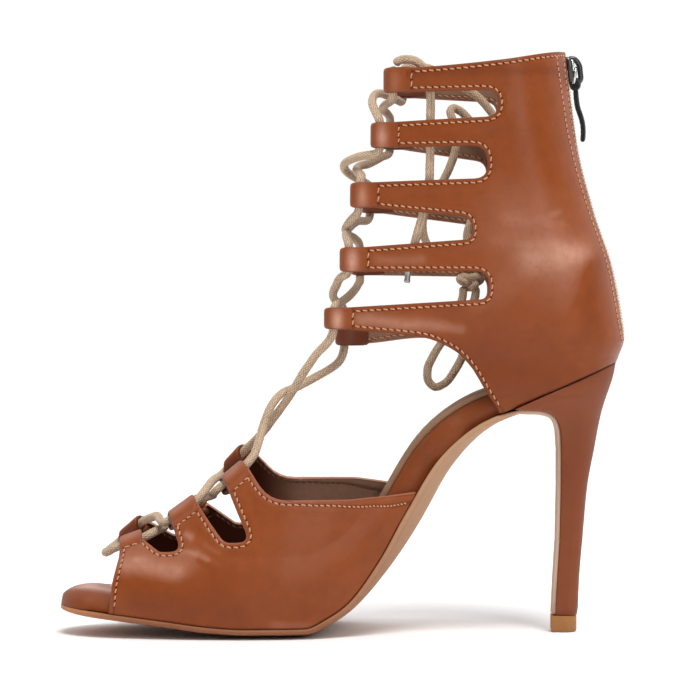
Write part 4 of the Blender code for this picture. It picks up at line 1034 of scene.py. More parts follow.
def stitch_run(seam, surface, side, relief, pitch=STITCH_PITCH, lining=False):
    """Middle, direction, sideways and outward vectors of the stitches along a seam."""
    total = lengths(seam)[-1]
    count = max(2, int(round(total / pitch)))
    s = (np.arange(count) + 0.5) * total / count
    reach = STITCH_SHARE * total / count
    ends = [along(seam, s + way * reach, closed=False) for way in (-1, 1)]
    out = outward((ends[0] + ends[1]) / 2, surface, side)
    lifts = [-LEATHER + 0 * s if lining else relief(*end.T, side) + PROUD for end in ends]
    a, b = (surface(*end.T, side) + out * lift[:, None] for end, lift in zip(ends, lifts))
    middle, way = (a + b) / 2, (b - a) / 2
    if lining:
        out = -out
    beside = unit(np.cross(out, way))
    way += SLANT * np.linalg.norm(way, axis=1, keepdims=True) * beside
    return middle, way, beside, out


def placed(shape, middle, way, beside, out, long, wide, high, lift):
    """One shape repeated at every stitch: its points carried along the stitch's own directions."""
    t, b, n = (shape[..., k].reshape(1, -1, 1) for k in range(3))
    points = (middle[:, None] + long * t * way[:, None] + wide * b * beside[:, None]
              + (high * n + lift) * out[:, None])
    rows, columns = shape.shape[:2]
    count = rows * columns
    starts = np.arange(len(middle))[:, None] * count
    faces = (starts[:, :, None] + grid_faces(rows, columns)[None]).reshape(-1, 4)
    caps = np.concatenate([starts + np.arange(columns)[::-1], starts + count - columns + np.arange(columns)])
    return points, faces, caps


def stitches(name, runs, thick=THREAD_WIDE, finish=THREAD, holes=True):
    """All stitches of a piece in one mesh, and the needle holes between them in another."""
    middle, way, beside, out = (np.concatenate([run[k] for run in runs]) for k in range(4))
    points, faces, caps = placed(THREAD_SHAPE, middle, way, beside, out, 1.0, thick / 2, 0.4 * thick, 0.1)
    piece(name, points, faces, [finish], caps=caps)
    print(f"  {len(middle)} stitches")
    if not holes:
        return
    # the needle holes are small dark lenses on the leather: painted shade
    hole_at = np.concatenate([middle - 1.25 * way, middle + 1.25 * way])
    way, beside, out = (np.concatenate([part, part]) for part in (way, beside, out))
    points, faces, caps = placed(HOLE_SHAPE, hole_at, way, beside, out, 0.26, 0.26, 0.1, -0.02)
    piece(name + "_holes", points, faces, [HOLE_SHADE], caps=caps)


print("one stitch has", THREAD_SHAPE[..., 0].size, "points")

# %% [markdown]
# ## Folded ends
# Each strap and each tab ends in a fold that holds the lace, like a curtain's rod pocket. The
# fold's outside and its tunnel are two closed profiles. They are carried across the strap, and at
# each mouth the surface rolls over a half-round edge from the outside into the tunnel.

# %% Fold profile and pocket
def even_loop(profile, count=40):
    """Closed smooth profile: corners cut three times, then points at equal spacing."""
    loop = np.array(profile)
    for _ in range(3):
        ahead = np.roll(loop, -1, axis=0)
        loop = np.stack([0.75 * loop + 0.25 * ahead, 0.25 * loop + 0.75 * ahead], axis=1).reshape(-1, 2)
    total = lengths(np.vstack([loop, loop[:1]]))[-1]
    return along(loop, np.linspace(0, total, count, endpoint=False))


# how far behind the fold's end, and how far above the leather's face
OUTER_LOOP = even_loop(((12.9, -1.3), (11.9, -0.25), (9.8, 0.3), (6.4, 0.5), (2.7, 0.3), (0.0, -1.3),
                        (-0.1, -4.9), (2.4, -6.7), (7.2, -6.3), (12.4, -2.9)))
TUNNEL_LOOP = even_loop(((9.2, -1.9), (6.2, -0.75), (2.6, -0.65), (1.1, -2.0), (1.2, -4.6),
                         (3.0, -5.8), (6.4, -5.2), (8.9, -3.1)))
POCKET_ROUND = 0.7
FRONT_ROUND = 1.4  # a fold's front corners are rounded
INSIDE_FROM = -3.4  # below this depth a fold takes the painted shade finish
BEHIND_FROM = -0.9  # and below this one behind its tunnel
FAR = 9.0  # value of a distance that no finish reads


def pocket_rows(width, count=9):
    """(place across, share of the way from skin to tunnel) for rows round the pocket's wall."""
    flat = np.linspace(POCKET_ROUND, width - POCKET_ROUND, count)
    turn = np.linspace(0, math.pi, 5)[1:-1]
    roll = POCKET_ROUND * np.sin(turn)
    place_at = np.concatenate([flat, flat[-1] + roll, flat[::-1], flat[0] - roll])
    share = np.concatenate([0 * flat, (1 - np.cos(turn)) / 2, 0 * flat + 1, (1 + np.cos(turn)) / 2])
    return place_at, share


def rounded_front(loop, near):
    """A profile pushed back at its front, the more the nearer it lies to the fold's mouth."""
    missing = FRONT_ROUND - min(near, FRONT_ROUND)
    shift = FRONT_ROUND - math.sqrt(FRONT_ROUND**2 - missing**2)
    back = shift * np.clip(1 - loop[:, 0] / 7, 0, 1)
    return loop + np.column_stack([back, 0 * back])


def pockets(name, widths, curve_at, finishes, lights):
    """Folded ends of one side in one mesh: curve_at(end, share) gives the curve across an end."""
    points, faces, edge, tone, dark, start = [], [], [], [], [], 0
    for (end, width), light in zip(widths.items(), lights):
        place_at, share = pocket_rows(width)
        near = np.minimum(place_at, width - place_at)
        profiles = [OUTER_LOOP * (1 - s) + TUNNEL_LOOP * s for s in share]
        profiles = [rounded_front(loop, e) for loop, e in zip(profiles, near)]
        rows = np.array([place(curve_at(end, at / width), loop) for at, loop in zip(place_at, profiles)])
        quads = grid_faces(len(rows), len(OUTER_LOOP), rows_close=True)
        if volume(rows.reshape(-1, 3), quads) < 0:
            quads = quads[:, ::-1]
        points.append(rows)
        faces.append(quads + start)
        start += rows[..., 0].size
        behind, depth = np.array(profiles)[..., 0], np.array(profiles)[..., 1]
        # the fold's sides are the strap's cut edges and darken as cut edges do; its rounded front gets the
        # same dark line, a painted shade
        edge.append(np.minimum(near[:, None] + 0 * behind, np.abs(behind + 0.2) + 0.1 * (depth > -0.6)))
        # a painted highlight on each fold, a little behind its front and below the middle of its width
        glow = np.exp(-(((behind - 5.8) / 2.1) ** 2) - ((place_at / width - 0.42) / 0.5)[:, None] ** 2)
        tone.append(light * glow)
        at_quads = [values.ravel()[quads].mean(axis=1) for values in (behind, depth)]
        # faces that turn inwards, and those behind the tunnel, get the painted shade finish
        dark.append(at_quads[1] < np.where(at_quads[0] > 9.5, BEHIND_FROM, INSIDE_FROM))
    points, far = np.concatenate(points), np.full(start, FAR)
    facts = {"edge": np.concatenate(edge), "cross": far, "seam": far, "tone": np.concatenate(tone)}
    return piece(name, points, np.concatenate(faces), finishes, which=np.concatenate(dark), facts=facts)


print("a fold is", round(float(np.ptp(OUTER_LOOP[:, 0])), 1), "mm long")

# %% [markdown]
# ## Quarters
# The quarters are the two halves of the shaft. They meet at the back below the zip, and above it
# they leave a slot for the zip's tape. Five straps reach forwards on each side, and the gaps
# between them end in rounded corners. Gaps cut out of a finished shaft would leave rough edges, so
# each quarter is cut flat first, as a maker does, and its seams run evenly inside its outline.

# %% Outline of a quarter
ZIP_SLOT = 3.2  # half the width of the slot up the back
ZIP_FOOT = 108.0  # height of the slot's lower end
ZIP_X = 102.0  # x at which the heel's middle line gives the zip its y
SEAT_BACK_X = 101.2  # x where the lower edge meets the back
BACK_SEAM = 0.12  # half the gap between the quarters below the slot
COLLAR_BACK_X = 82.0  # x where the collar leaves the back


def quarter_outline(side):
    """Closed outline in the pattern: lower edge, back, collar, then the straps from the top down."""
    names = list(STRAPS)
    x = np.linspace(strap_end(LOWEST, side) + TUCK, POINT_X, 30)
    foot = np.column_stack([x, quarter_foot(x, side)])
    x = np.linspace(POINT_X + 2, SEAT_BACK_X, 22)
    z = quarter_foot(x, side) + GAP
    seat = np.column_stack([shaft_place(x, z), z])
    z = np.concatenate([np.linspace(quarter_foot(SEAT_BACK_X, side) + 0.6, ZIP_FOOT, 5),
                        np.linspace(ZIP_FOOT + 0.3, COLLAR["back"][1], 50)])
    rear = shaft_column("back", z)
    slot = ZIP_SLOT + side * (centre_y(ZIP_X) - centre_y(rear))
    clear = np.where(z > ZIP_FOOT, slot, BACK_SEAM)
    back = np.column_stack([rear - SEAT_ROUND + BACK_ARC - clear, z])
    x = np.linspace(COLLAR_BACK_X, strap_end(names[0], side) + TUCK, 40)
    z = over(COLLAR, x)
    collar = np.column_stack([shaft_place(x, z), z])
    comb = []
    for upper, lower, gap in zip(names, names[1:], GAPS.values()):
        rear, high, low, high_round, low_round, drop = gap
        high_end, low_end = (strap_end(name, side) + TUCK for name in (upper, lower))
        comb.append(rounded([(high_end, strap_edges(upper, side)[0], 0),
                             (rear, high - drop * (side > 0), high_round),
                             (rear, low, low_round),
                             (low_end, strap_edges(lower, side, low_end)[1], 0)]))
    return np.concatenate([foot, seat, back, collar, *comb]), foot, back, collar, comb


def inset(edge, outline, distance):
    """The edge evened out and moved to its left, where that is no nearer to the outline than it should be."""
    even = along(edge, np.arange(0, lengths(edge)[-1], 1.0), closed=False)
    way = np.gradient(even, axis=0)
    for _ in range(3):
        way[1:-1] = (way[:-2] + way[1:-1] + way[2:]) / 3
    way = unit(way)
    line = even + distance * np.column_stack([-way[:, 1], way[:, 0]])
    gap, _, _ = nearest(line, outline)
    return line[(gap > distance * 0.93) & inside(line, outline)]


print("corners of a quarter's outline:", len(quarter_outline(-1)[0]))

# %% Seams of a quarter
CROSS_ROW = 11.4  # a row crosses each strap this far behind its folded end
BACK_ROWS = (3.8, 8.0)  # two rows of stitches run beside the zip
BACK_ROWS_TOP = 212.0  # up to this height
BACK_SPREAD = 0.006  # and spread by this share of the height above the zip's foot
POINT_Z = 83.5  # the lower edge has no stitches below this height


def strap_row(name, side):
    """Stitch row across a strap, behind its fold."""
    x = strap_end(name, side) + CROSS_ROW
    low, high = strap_edges(name, side, x)
    low = float(quarter_foot(x, side)) if name == LOWEST else low
    high = float(over(COLLAR, x)) if name == "strap_1" else high
    z = np.linspace(low + STRAP_SEAM, high - STRAP_SEAM, 8)
    return np.column_stack([np.full_like(z, x), z])


def quarter_seams(side):
    """Stitch rows: along the straps and gaps, across each strap, up the back and by the sole."""
    outline, foot, _, collar, comb = quarter_outline(side)
    limit = {name: strap_end(name, side) + CROSS_ROW for name in STRAPS}
    names, seams = list(STRAPS), []
    for gap_edge, upper, lower in zip(comb, names, names[1:]):
        line = inset(gap_edge, outline, STRAP_SEAM)
        middle = (gap_edge[0, 1] + gap_edge[-1, 1]) / 2
        start = np.where(line[:, 1] > middle, limit[upper], limit[lower])
        seams.append(line[line[:, 0] > start])
    line = inset(foot, outline, STRAP_SEAM)
    seams.append(line[(line[:, 0] > limit[LOWEST]) & (line[:, 1] > POINT_Z)])
    line = inset(collar, outline, STRAP_SEAM)
    seams.append(line[line[:, 0] > limit["strap_1"]])
    return seams + [strap_row(name, side) for name in STRAPS]


def back_rows(side):
    """Two rows beside the zip, which spread a little upwards."""
    back = quarter_outline(side)[2]
    above = back[(back[:, 1] > ZIP_FOOT - 1.5) & (back[:, 1] < BACK_ROWS_TOP)]
    spread = 1 + BACK_SPREAD * (above[:, 1] - ZIP_FOOT)
    return [above - np.column_stack([distance * spread, 0 * spread]) for distance in BACK_ROWS]


def quarter_facts(side):
    """Facts at pattern places: distances to the stitched edges and the cross rows, and the painted light of
    the outer face and the lining.
    """
    _, foot, _, collar, comb = quarter_outline(side)
    tops = np.array([high + 1.5 for _, _, high, _ in STRAPS.values()])
    rows = np.array([strap_end(name, side) for name in STRAPS]) + CROSS_ROW

    def facts(pattern):
        seam = np.min([nearest(pattern, line, closed=False)[0] for line in (foot, collar, *comb)], axis=0)
        seam = seam + SEAM_IN - STRAP_SEAM
        strap = np.clip((pattern[:, 1][:, None] < tops[None]).sum(axis=1) - 1, 0, len(tops) - 1)
        cross = CROSS_AT + np.clip(pattern[:, 0] - rows[strap], -3, 3)
        spot = shaft_surface(*pattern.T, side)
        # painted highlights and painted shade on the outer face; the lining is painted a little lighter all
        # over
        tone = np.clip(folds(QUARTER_PAINTED_LIGHT, spot[:, 0], spot[:, 2], PAINTED_LIGHT_WAVE), -1, 1)
        return {"seam": np.where(cross < CROSS_AT - 0.3, FAR, seam), "cross": cross,
                "tone": tone, "lining": np.full(len(pattern), 0.35)}

    return facts


print("stitch rows on a quarter:", len(quarter_seams(-1)))

# %% [markdown]
# ### Relief of the leather
# Worn-in leather is never flat: it swells softly over the ankle and gathers in shallow folds where
# the foot bends. Each fold is a short line with a width and a height, and it fades as a bell curve
# away from that line.

# %% Folds in the leather
# start x, start z, end x, end z, width, height (negative for a trough), all in millimetres
QUARTER_FOLDS = (
    (60, 153.5, 84, 147, 2, 0.07), (62, 149.5, 86, 143, 1.7, -0.07),
    (60, 145.5, 82, 140, 2, 0.08), (66, 139, 82, 138, 4.5, 0.25),
    (58, 133, 84, 129, 4.5, -0.2), (57, 157.5, 74, 156, 1.6, 0.06),
    (49.6, 182, 56.8, 180.7, 1.1, -0.2), (48.6, 158.6, 53, 160, 1.2, 0.16),
    (19, 114.6, 38, 114.6, 2.6, 0.18),
    (29, 138.6, 33, 138, 2, 0.16), (50, 122, 82, 112, 8, 0.35),
    (64, 196, 88, 186, 7, -0.25), (58, 170, 80, 166, 6, 0.2),
)
VAMP_FOLDS = (
    (-54.4, 37.3, -53.6, 36.7, 0.9, 0.22), (-57.4, 31.2, -53, 30.6, 1.1, 0.2),
    (-52.3, 31.2, -49.8, 28.1, 1.1, -0.14), (-49.8, 28.1, -44.5, 26.5, 1.4, 0.16),
    (-48, 33.1, -42.3, 31.2, 1.3, 0.18), (-33.8, 49.5, -33.2, 48.8, 0.9, 0.2),
    (-77.4, 26.2, -54.9, 23.1, 4.2, 0.2), (-73, 27.6, -69, 27.2, 1.2, 0.14),
    (-52, 18, -30, 13, 6, -0.2),
)
# The same for painted light: painted highlights above zero, painted shade below zero.
QUARTER_PAINTED_LIGHT = (
    (70, 137, 86, 139.2, 5.4, 0.4), (82, 139.5, 86.5, 139.2, 3.6, 0.2),
    (66, 150, 82, 134, 13, 0.22),
    (61, 152.6, 80, 149.6, 2.6, 0.08), (56, 143.8, 80, 142, 2.4, 0.07),
    (77.4, 153.2, 79.6, 154.4, 1.2, 0.16),
    (8, 115.4, 44, 112, 2.4, 0.42), (14, 137, 30, 137, 1.8, 0.2),
    (46, 100, 80, 92, 13, -0.45), (20, 205, 86, 205.4, 2.2, -0.4),
    (92, 134, 90, 112, 5, -0.3), (58, 184, 84, 176, 9, -0.12),
    (50, 120, 60, 128, 6, 0.1),
)
VAMP_PAINTED_LIGHT = (
    (-77, 26.6, -58, 24.8, 3.2, 0.42), (-73, 31, -54, 28.5, 5, 0.16),
    (-73.6, 28.4, -70.4, 28, 1, 0.2), (-55, 37.6, -53.4, 36.6, 1.3, 0.35),
    (-51, 31, -47.6, 28.6, 1.3, 0.3), (-57.6, 31.4, -53, 30.8, 1.3, 0.16),
    (-50.5, 28.6, -47, 26.8, 1, -0.22), (-48, 33.4, -43, 31.4, 1.2, 0.12),
    (-74, 13.6, -36, 9.4, 6, -0.3), (-40, 20, -10, 14, 9, -0.14),
    (4, 42, 20, 30, 8, -0.1), (-22, 5, -4, 3, 3, 0.2),
)
PAINTED_LIGHT_WAVE = 0.4  # painted lights lie straighter than folds
print("folds:", len(QUARTER_FOLDS) + len(VAMP_FOLDS), "tones:", len(QUARTER_PAINTED_LIGHT) + len(VAMP_PAINTED_LIGHT))


# %% Height of the leather
def folds(table, x, z, wave=1.0):
    """Sum over a table of folds, and also of painted lights, at pattern places: each row's value times a bell
    of the distance to its wavy line.
    """
    out = np.zeros(np.shape(x))
    x = x + wave * 0.6 * np.sin(z / 2.3 + x / 7.0)
    z = z + wave * (0.7 * np.sin(x / 3.3 + 1.0) + 0.2 * np.sin(x / 1.3 + z / 2.0))
    for ax, az, bx, bz, width, height in table:
        way = np.array([bx - ax, bz - az])
        share = np.clip(((x - ax) * way[0] + (z - az) * way[1]) / (way @ way), 0, 1)
        gap = np.hypot(x - ax - share * way[0], z - az - share * way[1])
        out += height * np.exp(-((gap / width) ** 2))
    return out


def quarter_relief(q, z, side):
    """Folds, a soft swell, and fine wrinkles where the ankle bends."""
    swell = 0.18 * np.sin(q / 9.0 + z / 14.0) * np.sin(z / 11.0 - q / 17.0)
    wrinkled = np.exp(-(((q - 69) / 12) ** 2) - ((z - 149) / 8) ** 2)
    wrinkles = 0.05 * wrinkled * np.sin(2.3 * z + 1.6 * np.sin(q / 3.1) + q / 3)
    return folds(QUARTER_FOLDS, q, z) + swell + wrinkles


print("relief over the ankle:", round(float(quarter_relief(70.0, 147.0, -1)), 3), "mm")

# %% Quarters, their folded ends and stitches
STRAP_PAINTED_HIGHLIGHTS = (0.25, 0.8, 0.6, 1.0, 1.0)  # how strong the painted highlight on each folded end is
QUARTER_CELL = 0.8
BACK_PITCH = 2.1
strap_widths = {name: high - low for name, (_, low, high, _) in STRAPS.items()}
for word, side in SIDES.items():
    outline, foot = quarter_outline(side)[:2]
    hidden = outline[len(foot) - 1:len(foot) + 22]
    made = leather_sheet(f"quarter_{word}", outline, shaft_surface, side, QUARTER_CELL,
                         quarter_facts(side), quarter_relief, hidden, [CARAMEL, LINING, EDGE])
    pockets(f"strap_ends_{word}", strap_widths, lambda name, share: strap_curve(name, share, side),
            [CARAMEL, FOLD_PAINTED_SHADE], STRAP_PAINTED_HIGHLIGHTS)
    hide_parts("quarters")
    skin = shaft_surface, side, quarter_relief
    rows = [row for row in quarter_seams(side) if len(row) > 3]
    runs = [stitch_run(row, *skin) for row in rows]
    runs += [stitch_run(row, *skin, BACK_PITCH) for row in back_rows(side)]
    stitches(f"stitches_quarter_{word}", runs)
    runs = [stitch_run(row, *skin, lining=True) for row in rows]
    stitches(f"stitches_quarter_lining_{word}", runs, LINING_THREAD, holes=False)

# %% [markdown]
# ## Vamp
# The vamp is two halves that rise from the sole on each side of the open toe. Each half has three
# tabs that hold the lace, with scooped notches between them, and a topline that runs back to a
# point at the waist. The notches would bend a grid that runs from sole to topline, so a half is
# cut flat too.

# %% Outline of a vamp half
OUTER_NOTCH = 2.4  # the outer side's notches are shallower


def tab_end(name, side):
    """Front and rear corner of a tab's own leather, hidden in its fold."""
    return [place(curve, [(TUCK, 0.0)])[0][[0, 2]] for curve in tab_curves(name, side)[::2]]


def vamp_outline(side):
    """Closed outline in x and z: sole's edge, point, topline, then the tabs down to the front."""
    x = np.linspace(VAMP_FRONT["foot"][0], VAMP_TOPLINE["point"][0] + 0.1, 60)
    foot, _, _ = sole_edge(x, side)
    sole = np.column_stack([x, foot])
    corners = [(*moved(x, z, side), r) for x, z, r in list(VAMP_TOPLINE.values())[::-1]]
    notches = list(VAMP_NOTCHES.values())[::-1]
    for tab, notch in zip(list(TABS)[::-1], notches + [None]):
        front, rear = tab_end(tab, side)
        corners += [(*rear, 0.0), (*front, 0.0)]
        if notch:
            raised = OUTER_NOTCH * (side > 0)
            corners += [(*moved(x, z + raised, side), r) for x, z, r in notch[::-1]]
    corners += [(*moved(x, z, side), r) for x, z, r in list(VAMP_FRONT.values())[::-1]]
    return sole, rounded(corners)


def on_leather(line, side, step=1.0):
    """A line in x and z, evened out and carried into the vamp's pattern."""
    total = lengths(line)[-1]
    even = along(line, np.linspace(0, total, int(total / step) + 2), closed=False)
    return np.column_stack([even[:, 0], vamp_place(even[:, 0], even[:, 1], side)])


print("corners of a vamp half:", len(vamp_outline(-1)[1]))

# %% Seams of a vamp half
VAMP_ROWS = {"tab_a": 11.2, "tab_b": 14.2, "tab_c": 14.4}  # a row crosses each tab this far behind its end


def tab_row(tab, side):
    """Ends of the stitch row that crosses a tab, in the pattern."""
    ends = np.array([place(curve, [(VAMP_ROWS[tab], 0.0)])[0] for curve in tab_curves(tab, side)])
    return on_leather(ends[:, [0, 2]], side, 0.5)


def off_row(points, row):
    """How far points lie behind a tab's row, and how far beside it."""
    axis = row[-1] - row[0]
    size = np.linalg.norm(axis)
    axis = axis / size
    off = points - row[0]
    reach = off @ axis
    return off @ np.array([axis[1], -axis[0]]), np.maximum(-reach, reach - size)


def vamp_seams(side, outline, upper):
    """Stitch rows: along the open edges, and across each tab behind its fold."""
    line = inset(on_leather(upper, side), outline, SEAM_IN)
    rows, keep = [], np.ones(len(line), bool)
    for tab in TABS:
        row = tab_row(tab, side)
        rows.append(row[3:-3])
        behind, beside = off_row(line, row)
        keep &= ~((behind < -0.4) & (beside < 4))
    line = line[keep]
    jumps = np.nonzero(np.linalg.norm(np.diff(line, axis=0), axis=1) > 3.5)[0] + 1
    return [bit for bit in np.split(line, jumps) if len(bit) > 4] + rows


def vamp_facts(side, upper):
    """Facts at pattern places: distances to the stitched edge and to the nearest tab's row, and the painted
    light of the outer face and the lining.
    """
    edge = on_leather(upper, side)
    tab_rows = [tab_row(tab, side) for tab in TABS]

    def facts(pattern):
        seam = nearest(pattern, edge, closed=False)[0]
        cross = np.full(len(pattern), 3.0)
        for row in tab_rows:
            behind, beside = off_row(pattern, row)
            cross = np.where((beside < 3.5) & (behind < 3), np.minimum(cross, np.clip(behind, -3, 3)), cross)
        spot = vamp_surface(*pattern.T, side)
        # painted highlights and painted shade on the outer face; the lining is painted dark towards the toe,
        # a painted shade, and lighter towards the back
        tone = np.clip(folds(VAMP_PAINTED_LIGHT, spot[:, 0], spot[:, 2], PAINTED_LIGHT_WAVE), -1, 1)
        return {"seam": np.where(cross < -0.3, FAR, seam), "cross": CROSS_AT + cross,
                "tone": tone, "lining": -1 + 1.7 * ramp(spot[:, 0], -34, -14)}

    return facts


def vamp_relief(x, v, side):
    """Folds and a soft swell of the vamp's leather."""
    spot = vamp_surface(x, v, side)
    return folds(VAMP_FOLDS, x, spot[:, 2]) + 0.1 * np.sin(x / 8.0 + v / 11.0) * np.sin(v / 9.0 - x / 15.0)


print("a tab's row is", round(float(lengths(tab_row("tab_b", -1))[-1]), 1), "mm long")

# %% Vamp halves, their folded tabs and stitches
# strength of the painted highlight on each tab's fold
TAB_PAINTED_HIGHLIGHTS = (0.3, 0.3, 0.3)
VAMP_CELL = 0.75


def tab_width(name, side):
    first, _, last = (place(curve, [(0.0, 0.0)])[0] for curve in tab_curves(name, side))
    return float(np.linalg.norm(last - first))


for word, side in SIDES.items():
    sole, upper = vamp_outline(side)
    bottom = np.column_stack([sole[:, 0], np.full(len(sole), 0.05)])
    outline = np.concatenate([bottom, on_leather(upper, side, 0.7)])
    skin = vamp_surface, side, vamp_relief
    seams = vamp_seams(side, outline, upper)
    made = leather_sheet(f"vamp_{word}_leather", outline, vamp_surface, side, VAMP_CELL,
                         vamp_facts(side, upper), vamp_relief, bottom, [CARAMEL, LINING, RAW_EDGE])
    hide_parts(f"vamp_{word}")
    pockets(f"tab_ends_{word}", {name: tab_width(name, side) for name in TABS},
            lambda name, share: tab_curve(name, share, side), [CARAMEL, FOLD_PAINTED_SHADE], TAB_PAINTED_HIGHLIGHTS)
    stitches(f"stitches_vamp_{word}", [stitch_run(row, *skin) for row in seams])
    runs = [stitch_run(row, *skin, lining=True) for row in seams]
    stitches(f"stitches_vamp_lining_{word}", runs, LINING_THREAD, DULL_THREAD, holes=False)

# %% [markdown]
# ## Sole unit
# The footbed is a board wrapped in the same leather, thick and fully rounded at the toe. Under it
# lies a thin outsole whose edge shows as a lighter line, and on it the tan sock. The outsole's tail
# runs down the front of the heel. A flat plate could be bent to the foot, but a section carried
# along the board's line keeps its thickness in every bend.

# %% Footbed, sock and outsole
def sole_stations(start, stop, toe, seat, count):
    """Path lengths from start to stop, closer together at a rounded end."""
    out = [start + toe * (1 - np.cos(np.linspace(0.05, math.pi / 2, 14)))] if toe else [[start]]
    out.append(np.linspace(start + toe, stop - seat, count)[1:])
    if seat:
        out.append(stop - seat * (1 - np.cos(np.linspace(math.pi / 2, 0.05, 12)[1:])))
    return np.concatenate(out)


def footbed_ring(path):
    """Flat below, with the wrapped leather's quarter-round on each side, fuller at the toe."""
    tucked = LEATHER + 3 * GAP
    toe = 1 - ramp(path, 22, 50)
    thick = on_line("board", path) * (0.32 + 0.68 * end_round(path, 11, 2.0))
    soft = min((0.72 + 0.24 * toe) * thick, 4.6 + 4 * toe)
    wide = max(half_widths(path)[1], 1)
    turn = np.linspace(0, math.pi / 2, 9)
    shares = 1 - min((1 + 0.9 * toe) * soft / wide, 0.55) * (1 - np.cos(turn))
    heights = thick - soft * (1 - np.sin(turn)) + GAP  # the lower face sits on the outsole
    shares = np.concatenate([[0.7, 0.96, 0.99], shares, [0.3, 0.1]])
    heights = np.concatenate([[0.02, 0.02, 0.2], heights, [thick + GAP, thick + GAP]])
    return both_halves(path, shares, heights, tucked * covered(on_line("x", path)), tucked)


BOARD_SHORT = 2.4  # the board stops this far inside the quarters at the back
stations = sole_stations(0.0, path_at(LINE["x"][-1] - BOARD_SHORT), TOE_ROUND, SEAT_ROUND, 80)
rings = np.array([footbed_ring(path) for path in stations])
half = rings.shape[1] // 2
on_top = np.minimum(np.arange(2 * half), np.arange(2 * half)[::-1]) / half
# painted sheen on the top of the toe, fading out behind it
painted_top_sheen = ramp(on_top, 0.55, 0.85)[None] * (1 - ramp(stations, 28, 60))[:, None] * ramp(stations, 0, 9)[:, None]
footbed = loft("footbed_board", rings, [BOARD], facts={"tone": 0.8 * painted_top_sheen})
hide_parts("footbed")

# %% Sock
SOCK_INSET = 3.4  # the sock stops this far inside the footbed's edge
SOCK_FRONT = -76.0  # x where the sock begins, under the toes
SOCK_PLUMP = 1.7  # the pad with its cloth
SOCK_ROUND = 16.0  # length of its rounded ends


def sock_ring(path, start, stop):
    """A thin pad that rounds over at its sides, narrowing to a rounded end."""
    board = on_line("board", path) + 2 * GAP
    inset_by = (LEATHER + 2 * GAP) * covered(on_line("x", path)) + SOCK_INSET
    ends = end_round(path - start, SOCK_ROUND) * end_round(stop - path, SOCK_ROUND)
    turn = np.linspace(0, math.pi / 2, 4)
    shares = ends * np.concatenate([[0.4, 0.97], 0.985 + 0.015 * np.cos(turn), [0.4]])
    heights = board + np.concatenate([[-0.6, -0.6], SOCK_PLUMP * np.sin(turn), [SOCK_PLUMP]])
    return both_halves(path, shares, heights, inset_by)


sock_start, sock_stop = path_at(SOCK_FRONT), LENGTH - 7.0
stations = sole_stations(sock_start + 0.05, sock_stop - 0.05, SOCK_ROUND, SOCK_ROUND, 60)
sock = loft("sock_pad", [sock_ring(path, sock_start, sock_stop) for path in stations], [SOCK])
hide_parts("sock")

# %% Table of the heel
HEEL_COLUMNS = ("front_x", "front_z", "back_x", "back_z", "half", "round")
HEEL = {
    "seat": (63.4, 82.7, 101.2, 99.7, 25.9, 0.68),
    "under seat": (67.5, 82.5, 100.3, 95, 25, 0.65),
    "bowl": (72.5, 82.3, 98.9, 90.5, 22.8, 0.6),
    "bowl foot": (76.6, 81.1, 97.3, 85.8, 19.4, 0.56),
    "neck top": (79.2, 78.5, 95.8, 80.6, 15.8, 0.53),
    "neck": (80.5, 74.5, 94.6, 75, 12.6, 0.5),
    "neck foot": (80.9, 67.5, 93.3, 67.7, 9.8, 0.5),
    "stem top": (80.9, 54, 90.8, 54, 7.3, 0.5),
    "stem": (80.5, 34, 89, 34, 5.8, 0.5),
    "stem foot": (79.6, 19.5, 87.8, 19.5, 5.3, 0.5),
    "tip": (79, 7, 87.3, 7, 5.1, 0.5),
}


def heel_sections(at):
    """Front edge, its outward normal, back edge, half width and roundness at row numbers `at`."""
    rows = np.array(list(HEEL.values()), float)
    data = {name: smooth(at, np.arange(len(rows)), rows[:, i]) for i, name in enumerate(HEEL_COLUMNS)}
    front = np.column_stack([data["front_x"], data["front_z"]])
    way = unit(np.gradient(front, axis=0))
    back = np.column_stack([data["back_x"], data["back_z"]])
    return front, np.column_stack([-way[:, 1], way[:, 0]]), back, data["half"], data["round"]


print("heel table:", len(HEEL), "rows")

# %% Outsole
OUTSOLE_EDGE = 2.1  # thickness of the outsole at its edge
FLAP_DEPTH = 1.7  # and of its tail on the heel's front
BREAST_SHARE = 0.84  # half width of the tail, of the heel's own
BOWL_ROWS = 5  # rows of the heel's bowl, which the tail follows more finely
UNDER = np.linspace(-1, 1, 15)


def outsole_profile(depth, belly):
    """Shares and depths across the underside: a rounded lower edge and a belly in the middle."""
    slope = np.clip((np.abs(UNDER) - 0.3) / 0.6, 0, 1)
    deep = depth + belly * (1 - slope**2)
    fade = np.clip((1 - np.abs(UNDER)) / 0.05, 0, 1)
    return UNDER * 0.985, deep * (0.82 + 0.18 * np.sqrt(fade))


def outsole_ring(path):
    """The outsole's section: its underside, its upright edges and a flat top."""
    depth = OUTSOLE_EDGE * (0.45 + 0.55 * end_round(path, 12, 2.0))
    shares, deep = outsole_profile(depth, on_line("belly", path))
    low = section_points(path, shares, -deep)
    edge, rise = np.array([1.0, 1.0, 0.98]), np.array([-0.5 * depth, -0.12, 0.0])
    top = section_points(path, np.array([0.5, -0.5]), np.zeros(2))
    return np.concatenate([low, section_points(path, edge, rise), top,
                           section_points(path, -edge, rise)[::-1]])


def flap_ring(front, normal, half):
    """The outsole's tail on the heel's front: the same points across, thinner."""
    shares, deep = outsole_profile(FLAP_DEPTH, 0.0)
    shares = np.concatenate([shares, [1, 1, 0.98, 0.5, -0.5, -0.98, -1, -1]])
    deep = np.concatenate([deep, [0.9, 0.1, 0, 0, 0, 0, 0.1, 0.9]])
    x, z = (front[k] - normal[k] * deep for k in range(2))
    return np.column_stack([x, centre_y(front[0]) + half * BREAST_SHARE * shares, z])


